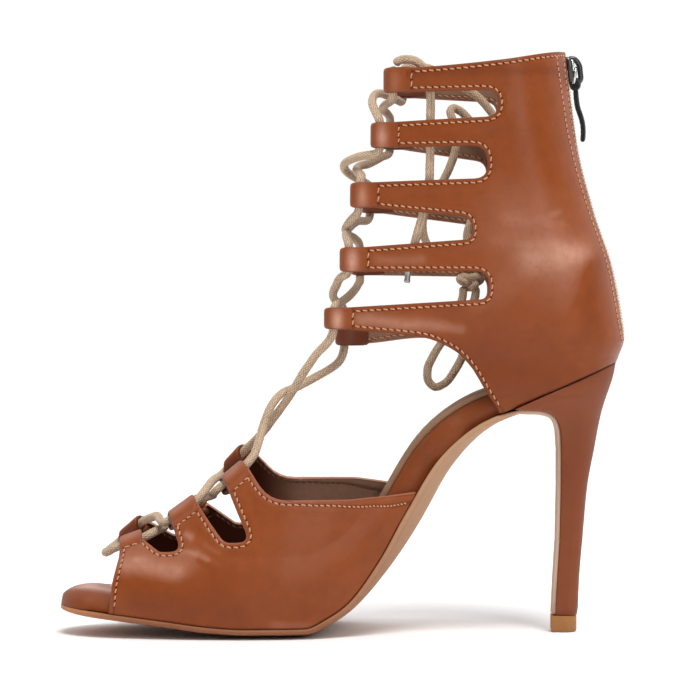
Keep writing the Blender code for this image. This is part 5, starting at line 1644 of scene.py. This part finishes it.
stations = sole_stations(0.0, path_at(BREAST_X), TOE_ROUND, 0, 76)
at = np.concatenate([np.arange(0, BOWL_ROWS, 0.5), np.arange(BOWL_ROWS, len(HEEL))])
front, normal, _, half, _ = heel_sections(at)
rings = [outsole_ring(path) for path in stations]
rings += [flap_ring(*row) for row in zip(front[1:], normal[1:], half[1:])]
outsole = loft("outsole_leather", rings, [SOLE_EDGE])
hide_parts("outsole")

# %% [markdown]
# ## Heel
# The heel is a plastic core wrapped in leather. Its section is flat at the front, round behind,
# and shrinks fast below the seat. A hard top piece takes the wear. A turned cone would be round
# all over, so the section is carried down between a front and a back edge.

# %% Heel and its top piece
HEEL_RINGS = 60
TIP_TOP = 6.7  # height of the heel's top piece
LAP = 0.6  # the wrap laps a little over the top piece
TIP_FRONT, TIP_BACK, TIP_HALF, TIP_ROUNDING = 77.4, 86.7, 5.3, 0.5


def heel_loop(round_share):
    """Section as (share of depth, share of half width): flat front, soft corners, round back."""
    straight = 1 - round_share
    corner = np.linspace(0, math.pi / 2, 6)
    turn = np.linspace(0, math.pi / 2, 14)[:-1]
    depth = np.concatenate([[0, 0], 0.05 - 0.05 * np.cos(corner), straight + round_share * np.sin(turn)])
    width = np.concatenate([[0.0, 0.5], 0.9 + 0.07 * np.sin(corner), np.cos(turn)])
    depth = np.concatenate([depth, [1.0], depth[1:][::-1]])
    width = np.concatenate([width, [0.0], -width[1:][::-1]])
    return depth, width


def heel_surface(front, back, half, round_share):
    """The section carried down between the front and back edges, at each row's half width."""
    rings = []
    for f, b, h, r in zip(front, back, half, round_share):
        depth, width = heel_loop(r)
        x, z = (f[k] + (b[k] - f[k]) * depth for k in range(2))
        rings.append(np.column_stack([x, centre_y(x) + h * width, z]))
    return rings


front, _, back, half, roundness = heel_sections(np.linspace(0, len(HEEL) - 1, HEEL_RINGS))
front[-1, 1] -= LAP
back[-1] -= (LAP / 2, LAP)
heel = loft("heel_wrap", heel_surface(front, back, half, roundness), [HEEL_WRAP])
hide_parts("heel")

# height and outward reach of the top piece's rows
z, reach = np.array([(TIP_TOP - LAP, 0.0), (TIP_TOP - LAP - 0.2, 0.12), (1.0, 0.1), (0.25, -0.1),
                     (0.0, -0.5)]).T
tip_front, tip_back = np.column_stack([TIP_FRONT - reach, z]), np.column_stack([TIP_BACK + reach, z])
tip = loft("heel_top_piece", heel_surface(tip_front, tip_back, TIP_HALF + reach,
                                          np.full(len(z), TIP_ROUNDING)), [TIP])
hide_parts("heel_tip")

# %% [markdown]
# ## Lace
# The lace is a plaited cotton cord. It crosses in front of the foot, runs through every fold, and
# its two ends hang inside the shaft, where they are tied in a knot with two loops. A plaited cord's
# surface is a tube whose radius swells where two diagonal sets of strands pass over each other:
# strands of their own would look much the same and take many times the faces.

# %% Crossings of the lace
LACE = 3.1  # lace diameter
MOUTH = 0.4  # the lace runs this far straight on past a fold
LAST_MOUTH = 0.7  # and this far past the top straps, where its free ends begin
# points between two pairs of folds, of the strand that goes inwards and of the one that goes outwards
CROSSINGS = {
    "a to b": (
        ((-71, 1, 41.6), (-68, -6, 42.8)),
        ((-67.9, -11, 37.6), (-66.6, 2, 37.8))),
    "b to c": (
        ((-51.4, 10, 48.6), (-48.2, 0, 50)),
        ((-49.4, -8, 53.4), (-47.9, 1, 55.6))),
    "c to strap 5": (
        ((-32.9, 7, 70), (-28.4, 2.6, 74.8), (-25, 2.2, 79.4), (-21.3, 1, 84.2),
         (-18.1, -2.2, 88.9), (-14.6, -5.5, 94.7), (-9.4, -9.5, 102.2)),
        ((-31.8, -10.5, 65.8), (-30.3, -6.5, 70.6), (-29.4, -3.2, 74.8), (-28, -2.2, 79),
         (-26, -1.8, 83.6), (-22.6, 0.4, 87.8), (-17.5, 3, 89.9), (-12.7, 7, 92.4),
         (-7, 12, 95.5), (-1.8, 17.5, 99.2))),
    "strap 5 to 4": (
        ((-0.2, 18, 119.4), (-2.3, 10, 121.7), (-3.5, 2, 124.4), (-1.8, -6, 128),
         (0.6, -12.5, 131.4)),
        ((-1.9, -11.5, 120.7), (0.3, -5, 122), (4, 6, 125.6), (6.1, 17, 129.6))),
    "strap 4 to 3": (
        ((4.6, 14, 145.2), (2.2, 5, 146.8), (1.6, -4, 149.2), (4.2, -10.5, 152.4)),
        ((2, -10, 145.6), (2.4, 0, 148.8), (5.2, 12, 152))),
    "strap 3 to 2": (
        ((7.5, 19, 166.8), (2.8, 12, 169.2), (0.5, 4, 171.9), (2.4, -4, 173.9),
         (7.6, -10.5, 175.4)),
        ((7.8, -11.5, 167.8), (5.6, -5, 169.9), (6, 2.5, 172), (9.6, 10, 173.3),
         (14.2, 18, 176.2))),
    "strap 2 to 1": (
        ((17, 17, 191.6), (15, 8.5, 193.5), (16, 0, 194.7), (18.3, -8.5, 195.6)),
        ((12.8, -12.5, 191.2), (11.3, -7, 195.8), (12.8, -0.5, 198.8), (16, 7, 198.9),
         (19.8, 17, 197.6))),
}
TOE_BAR = (-86.8, -8.0, 29.4)  # middle of the lace across the toes
print("crossings:", len(CROSSINGS))

# %% Free ends of the lace
KNOT_AT = (47.6, 24.6, 129.6)  # middle of the knot
# points along each free cord
CORDS = {
    "lace_tail_inner": (
        (19.9, -17.2, 208.3), (21.2, -17.2, 209.6), (24, -17.4, 210.2), (27, -18, 209.8),
        (30, -19, 207.6), (32.3, -20.2, 203.2), (33, -21, 197.5), (33, -21.5, 190),
        (32.9, -21.5, 181), (32.8, -21.4, 172), (32.4, -21.3, 164), (30.8, -21.1, 156),
        (28.6, -20.6, 148), (26.4, -19.6, 140), (25, -19.3, 134.2)),
    "lace_tail_outer": (
        (22, 25.6, 208.3), (22.6, 25.6, 209.7), (27, 25.3, 210.6), (32.2, 25, 209.8),
        (37.6, 25.2, 207), (44, 25.6, 203.4), (49.6, 26, 199.8), (54, 26.4, 195.2),
        (57.4, 26.6, 190.2), (59.4, 26.8, 184), (59.6, 26.8, 176), (58, 26.6, 168),
        (54, 26.2, 160.5), (49, 25.8, 154.2), (46.4, 25.4, 147.6), (46.8, 25.2, 141),
        (48.4, 25, 133.8)),
    "lace_loop_upper": (
        (44.6, 24.4, 134.9), (38.8, 23.6, 137.6), (33.2, 22.8, 141), (30, 22.2, 147),
        (29.9, 22, 153.6), (32.6, 22, 160.2), (36.8, 22, 166.6), (40, 22, 173),
        (42, 22, 179.2), (42.6, 22, 185), (41, 22.1, 190.2), (40, 23.2, 193.4),
        (41.2, 25, 194.8), (43.8, 26.4, 193.8), (47.4, 27, 190.2), (51, 27, 186.2),
        (54.4, 26.2, 181), (56.4, 24.4, 175), (56.4, 22.4, 167.4), (54.6, 21.2, 158.8),
        (52.8, 20.9, 150), (51.8, 21.3, 142), (51.6, 22.4, 134.4)),
    "lace_loop_lower": (
        (49.6, 24.6, 125.4), (48.4, 24.4, 119.8), (47.4, 24, 113), (46.2, 23.6, 106.4),
        (44.2, 23.2, 100.4), (41.2, 22.9, 95), (37.9, 22.7, 91), (34.4, 22.6, 89.7),
        (31.9, 22.6, 91.8), (31.5, 22.7, 96.2), (33.6, 22.9, 101.4), (37, 23.2, 106.8),
        (40.4, 23.6, 112.6), (43.2, 24, 119), (44.9, 24.3, 125.4)),
}
AGLET = ((24.9, -19.3, 133.6), (24.4, -19.2, 128.8))
print("free cords:", len(CORDS))

# %% Route of the laced part
def flowing(points, step):
    """Smooth curve through the points, with new points about `step` apart between them."""
    points = np.asarray(points, float)
    at = lengths(points)
    speed = np.gradient(points, at, axis=0)
    out = [points[0]]
    for i, gap in enumerate(np.linalg.norm(np.diff(points, axis=0), axis=1)):
        count = max(1, int(round(gap / step)))
        for t in np.arange(1, count + 1) / count:
            ends = (2 * t**3 - 3 * t**2 + 1) * points[i] + (3 * t**2 - 2 * t**3) * points[i + 1]
            bend = (t**3 - 2 * t**2 + t) * speed[i] + (t**3 - t**2) * speed[i + 1]
            out.append(ends + gap * bend)
    return np.array(out)


def hole(name, side):
    """A fold's axis, with a short straight stretch past each mouth."""
    if name in TABS:
        curves = tab_curves(name, side)
    else:
        curves = [behind_strap(name, z, side) for z in strap_edges(name, side)]
    axis = [place(curve, [TUNNEL_AXIS])[0] for curve in curves]
    return [axis[0] - MOUTH * unit(axis[1] - axis[0]), *axis,
            axis[-1] + MOUTH * unit(axis[-1] - axis[-2])]


def strand(side):
    """The lace from the toe bar to a top strap, starting on one side and crossing at each gap."""
    order = list(TABS) + list(STRAPS)[::-1]
    route = hole(order[0], side)
    for name, (to_inner, to_outer) in zip(order[1:], CROSSINGS.values()):
        side = -side
        route += list(to_inner if side < 0 else to_outer)
        route += hole(name, side)
    route[-1] = route[-2] + (0, 0, LAST_MOUTH)
    return route


print("points of one strand:", len(strand(1)))

# %% A plaited cord
LACE_RING = 0.45  # distance between two rings of the cord
PLAIT_LENGTH = 1.8


def frames(path):
    """Two side directions of a path that turn with it and never twist."""
    way = unit(np.gradient(path, axis=0))
    side = np.cross(way[0], (0.3, 0.2, 1.0))
    sides = np.empty_like(path)
    for k, heading in enumerate(way):
        side = side - heading * (side @ heading)
        side = unit(side)
        sides[k] = side
    return sides, np.cross(way, sides)


def eased(path, reach):
    """The path with its bends eased: a bell-weighted mean of its neighbours within about `reach` mm."""
    weights = np.exp(-0.5 * (np.arange(-3 * reach, 3 * reach + 0.1, LACE_RING) / reach) ** 2)
    spare = len(weights) // 2
    padded = np.vstack([2 * path[0] - path[spare:0:-1], path, 2 * path[-1] - path[-2:-spare - 2:-1]])
    weights /= weights.sum()
    return np.column_stack([np.convolve(padded[:, k], weights, "valid") for k in range(3)])


def tube(name, path, radius, finish, body, closed, around, uv=None):
    """Surface round a path: at each turn a, the radius times (cos a of one side, sin a of the other)."""
    side, up = frames(path)
    a = turns(around)[:, None]
    ring = np.cos(a) * side[:, None] + np.sin(a) * up[:, None]
    points = path[:, None] + np.broadcast_to(radius, (len(path), around))[..., None] * ring
    caps = [] if closed else [np.arange(around)[::-1], (len(path) - 1) * around + np.arange(around)]
    return piece(name, points, grid_faces(len(path), around, rows_close=closed), [finish], body, uv=uv,
                 caps=caps)


def plaited(name, route, diameter, finish, body="shoe", around=20, ease=0.0, closed=False):
    """Tube along a route: radius swells by |sin| of two opposite spirals."""
    path = np.asarray(route) if closed else flowing(route, LACE_RING)
    if ease:
        path = eased(path, ease)
    run = lengths(path)
    s, a = np.meshgrid(run, turns(around), indexing="ij")
    spiral = s * math.pi / PLAIT_LENGTH
    cell = np.abs(np.sin(STRANDS * a + spiral) * np.sin(STRANDS * a - spiral))
    drift = 0.03 * np.sin(s / 3.7) + 0.02 * np.sin(s / 1.3 + a)
    radius = diameter / 2 * (0.95 + 0.09 * cell + drift)
    if not closed:
        ends = np.minimum(s, run[-1] - s)
        radius = radius * np.sqrt(np.clip(1 - (1 - np.clip(ends, 0, 1)) ** 2, 0.12, 1))
    uv = np.stack([a / math.pi, s / PLAIT_LENGTH], axis=-1).reshape(-1, 2)
    return tube(name, path, radius, finish, body, closed, around, uv), path


def length_of(path):
    return float(lengths(path)[-1]) * MM


route = strand(-1)[::-1] + [np.array(TOE_BAR)] + strand(1)
laced, laced_path = plaited("lace_laced_cord", route, LACE, COTTON, ease=1.7)
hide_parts("lace_laced")
print("laced length", round(length_of(laced_path), 3))

# %% Free ends, loops, knot and tag
turn = turns(130)
# a trefoil knot: x, y and z in waves of one, two and three per turn
knot_path = KNOT_AT + np.column_stack([
    1.45 * (np.sin(turn) + 2 * np.sin(2 * turn)), 1.5 * np.sin(3 * turn),
    0.85 * (np.cos(turn) - 2 * np.cos(2 * turn))])
knot, _ = plaited("lace_knot_tied", knot_path, LACE * 0.92, COTTON, closed=True)
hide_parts("lace_knot")

start, end = np.array(AGLET)
# distance from the tag's start and radius
reach, radius = np.array([(0.0, 1.0), (0.1, 1.2), (0.25, 1.1), (3.6, 1.05), (3.8, 1.2), (4.5, 1.15),
                          (4.8, 0.8)]).T[:, :, None]
aglet = tube("lace_tag", start + unit(end - start) * reach, radius, AGLET_METAL, "shoe", False, 16)
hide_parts("lace_aglet")

# %% Free cords
# what is on the far end, how the cord lies, and the pieces on its end
CORD_FACTS = {
    "lace_tail_inner": ("fitting", "hanging", [aglet]),
    "lace_tail_outer": ("knot", "hanging", [knot]),
    "lace_loop_upper": ("object", "loose", []),
    "lace_loop_lower": ("object", "hanging", []),
}
INTO_KNOT = 2.2  # the lower loop's ends run this far up into the knot
for name, (far_end, lay, on_it) in CORD_FACTS.items():
    points = np.array(CORDS[name])
    if name == "lace_loop_lower":
        points = np.vstack([points[0] + (0, 0, INTO_KNOT), points, points[-1] + (0, 0, INTO_KNOT)])
    cord, path = plaited(name + "_cord", points, LACE, COTTON)
    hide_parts(name)
    print(name, "length", round(length_of(path), 3))

# %% [markdown]
# ## Zip
# The zip is closed, and its cream tape shows in the slot up the back. Its teeth are a coil, so they
# are two wires that wind up the tape, not single teeth. The slider is black with a bright crown,
# and a ring with a knotted black string hangs from its small bridge.

# %% Zip tape
TAPE_TOP = 212.4
ZIP_Y = float(centre_y(ZIP_X))
# across the tape and outwards: its wings lie behind the leather, its middle fills the slot
TAPE_SHAPE = ((-6.0, -3.0), (6.0, -3.0), (6.0, -2.5), (2.9, -1.9), (2.9, -0.1), (-2.9, -0.1),
              (-2.9, -1.9), (-6.0, -2.5))


def out_of_back(out, z):
    return shaft_column("back", z) + out


def standing_out(z):
    """How far the closed zip stands out of the back, a little further towards its foot."""
    return 0.3 * (1 - ramp(z, 118, 160)) * ramp(z, ZIP_FOOT - 1, ZIP_FOOT + 6)


z = np.linspace(ZIP_FOOT - 1.0, TAPE_TOP, 60)
across, out = np.array(TAPE_SHAPE).T
x = out_of_back(out[None] + np.where(out > -1, 1.0, 0.0)[None] * standing_out(z)[:, None], z[:, None])
rings = np.stack([x, ZIP_Y + across[None] + 0 * x, z[:, None] + 0 * x], axis=-1)
tape = loft("zip_tape_cloth", rings, [TAPE])
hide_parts("zip_tape")

# %% Coil of the zip
COIL_PITCH, COIL_TOP = 1.1, 202.4


def wire(name, points, radius, finish, body, closed=False, around=10):
    """A round wire along a smooth route."""
    path = np.asarray(points) if closed else flowing(points, 0.5)
    return tube(name, path, radius, finish, body, closed, around)


# Two rows of coil close the tape: out = 0.3 cos a and y = 0.62 + 0.6 sin a on each side
z = np.arange(ZIP_FOOT + 0.6, COIL_TOP, 0.14)
turn = 2 * math.pi * z / COIL_PITCH
for word, side in SIDES.items():
    route = np.column_stack([out_of_back(standing_out(z) - 0.08 + 0.3 * np.cos(turn), z),
                             ZIP_Y + side * (0.62 + 0.6 * np.sin(turn)), z])
    wire(f"zip_coil_{word}", route, 0.2, COIL, "shoe", around=6)

# %% Slider and pull
CORNER_POWER = 0.45  # how square a block's rounded section is
back_x = float(out_of_back(0.0, 207.0))
corner = turns(24)
box_x = np.sign(np.cos(corner)) * np.abs(np.cos(corner)) ** CORNER_POWER
box_y = np.sign(np.sin(corner)) * np.abs(np.sin(corner)) ** CORNER_POWER


def block(name, rows, start, finish):
    """A rounded block: a row is a height, half width and outward reach, all from `start` outwards."""
    rings = [np.column_stack([out_of_back((start + reach) / 2 + (reach - start) / 2 * box_x, height),
                              ZIP_Y + half * box_y, 0 * box_x + height]) for height, half, reach in rows]
    return loft(name, rings, [finish])


slider = block("zip_slider_body", [
    (202.4, 1.7, 1.6), (202.9, 2.4, 2.1), (204.0, 2.9, 2.4), (207.4, 3.1, 2.2), (210.2, 3.5, 2.2),
    (211.6, 3.1, 1.7), (212.0, 2.4, 1.2)], -0.5, BLACK)
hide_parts("zip_slider")
block("zip_slider_crown", [
    (208.4, 1.0, 2.4), (209.0, 1.5, 2.9), (210.8, 1.5, 2.8), (211.2, 1.0, 2.4)], 0.8, SILVER)
bail = [(out_of_back(out, z), ZIP_Y, z) for out, z in ((1.6, 202.6), (4.3, 203.4), (4.75, 206.6),
                                                        (4.5, 209.4), (3.0, 211.3), (1.2, 211.5))]
wire("zip_slider_bridge", bail, 1.05, BLACK, "shoe")

# %% Ring and string that swing on the bridge
STRING_DIAMETER = 1.95
STRING = ((86.3, 200.4), (86.5, 197.0), (87.0, 193.8), (88.1, 190.4), (88.9, 187.2), (89.1, 184.0),
          (88.8, 180.8))
turn = turns(36)
loop = np.column_stack([back_x + 2.65 + 0.5 * np.cos(turn), ZIP_Y + 2.5 * np.sin(turn),
                        204.8 + 3.2 * np.cos(turn)])
ring = wire("zip_pull_ring", loop, 0.65, SILVER, "zip_pull", closed=True)
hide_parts("zip_pull")
# the string's knot is an egg: half axes 2.2, 2.3 and 2.5 mm
knot_rings = [np.column_stack([back_x + 2.9 + 2.2 * math.sin(a) * np.cos(corner),
                               ZIP_Y + 2.3 * math.sin(a) * np.sin(corner),
                               202.1 - 2.5 * math.cos(a) + 0 * corner])
              for a in np.linspace(0, math.pi, 12)[1:-1]]
loft("zip_pull_knot", knot_rings, [BLACK_CORD], body="zip_pull")
pull_cord, path = plaited("zip_pull_string", [(x, ZIP_Y, z) for x, z in STRING], STRING_DIAMETER,
                          BLACK_CORD, body="zip_pull", around=12)
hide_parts("zip_pull_cord")
print("pull string length", round(length_of(path), 4))

# %% [markdown]
# ## Floor and light
# A white floor and a pale sky make the soft, nearly shadowless light of a product table. A wide sun
# overhead casts the soft shadow, and a soft lamp in front gives the leather its long highlights.

# %% Stage
FLOOR_HALF = 3.0
SKY_FRONT, SKY_BACK = 0.2, 1.02  # the sky is dim behind the camera
SUN_POWER, FRONT_POWER = 2.2, 3.0
floor_mesh = bpy.data.meshes.new("floor")
corners = [(x * FLOOR_HALF, y * FLOOR_HALF, 0) for x, y in ((-1, -1), (1, -1), (1, 1), (-1, 1))]
floor_mesh.from_pydata(corners, [], [(0, 1, 2, 3)])
floor_mesh.materials.append(new_finish("white floor", (0.95, 0.95, 0.95), 0.9, Specular_IOR_Level=0.0)[0])
floor = bpy.data.objects.new("floor", floor_mesh)
scene.collection.objects.link(floor)

sky = bpy.data.worlds.new("pale sky")
sky.use_nodes = True
tree = sky.node_tree
split = add_node(tree, "SeparateXYZ", {0: add_node(tree, "TexCoord").outputs["Generated"]})
glow = stretch(tree, split.outputs["Y"], -0.3, 0.2, SKY_FRONT, SKY_BACK)
tree.links.new(glow, tree.nodes["Background"].inputs["Strength"])
tree.nodes["Background"].inputs["Color"].default_value = (1, 1, 1, 1)
scene.world = sky
print("floor", 2 * FLOOR_HALF, "m wide")

# %% Lamps and view
SUN_ANGLE = 26  # degrees, so its shadow is soft


def lamp(name, kind, at, to, power, **settings):
    """A lamp at a place that shines towards another."""
    made = bpy.data.lights.new(name, kind)
    made.energy = power
    for key, value in settings.items():
        setattr(made, key, value)
    holder = bpy.data.objects.new(name, made)
    holder.location = at
    holder.rotation_euler = facing(at, to)
    scene.collection.objects.link(holder)


lamp("overhead", "SUN", (0.12, -0.42, 1.0), (0.0, 0.0, 0.0), SUN_POWER, angle=math.radians(SUN_ANGLE))
lamp("front_softbox", "AREA", (0.45, -1.0, 0.55), (0.0, 0.0, 0.1), FRONT_POWER, shape="RECTANGLE",
     size=0.35, size_y=0.7)
scene.view_settings.view_transform = "Standard"
scene.view_settings.look = "None"
print("lamps:", len(bpy.data.lights))
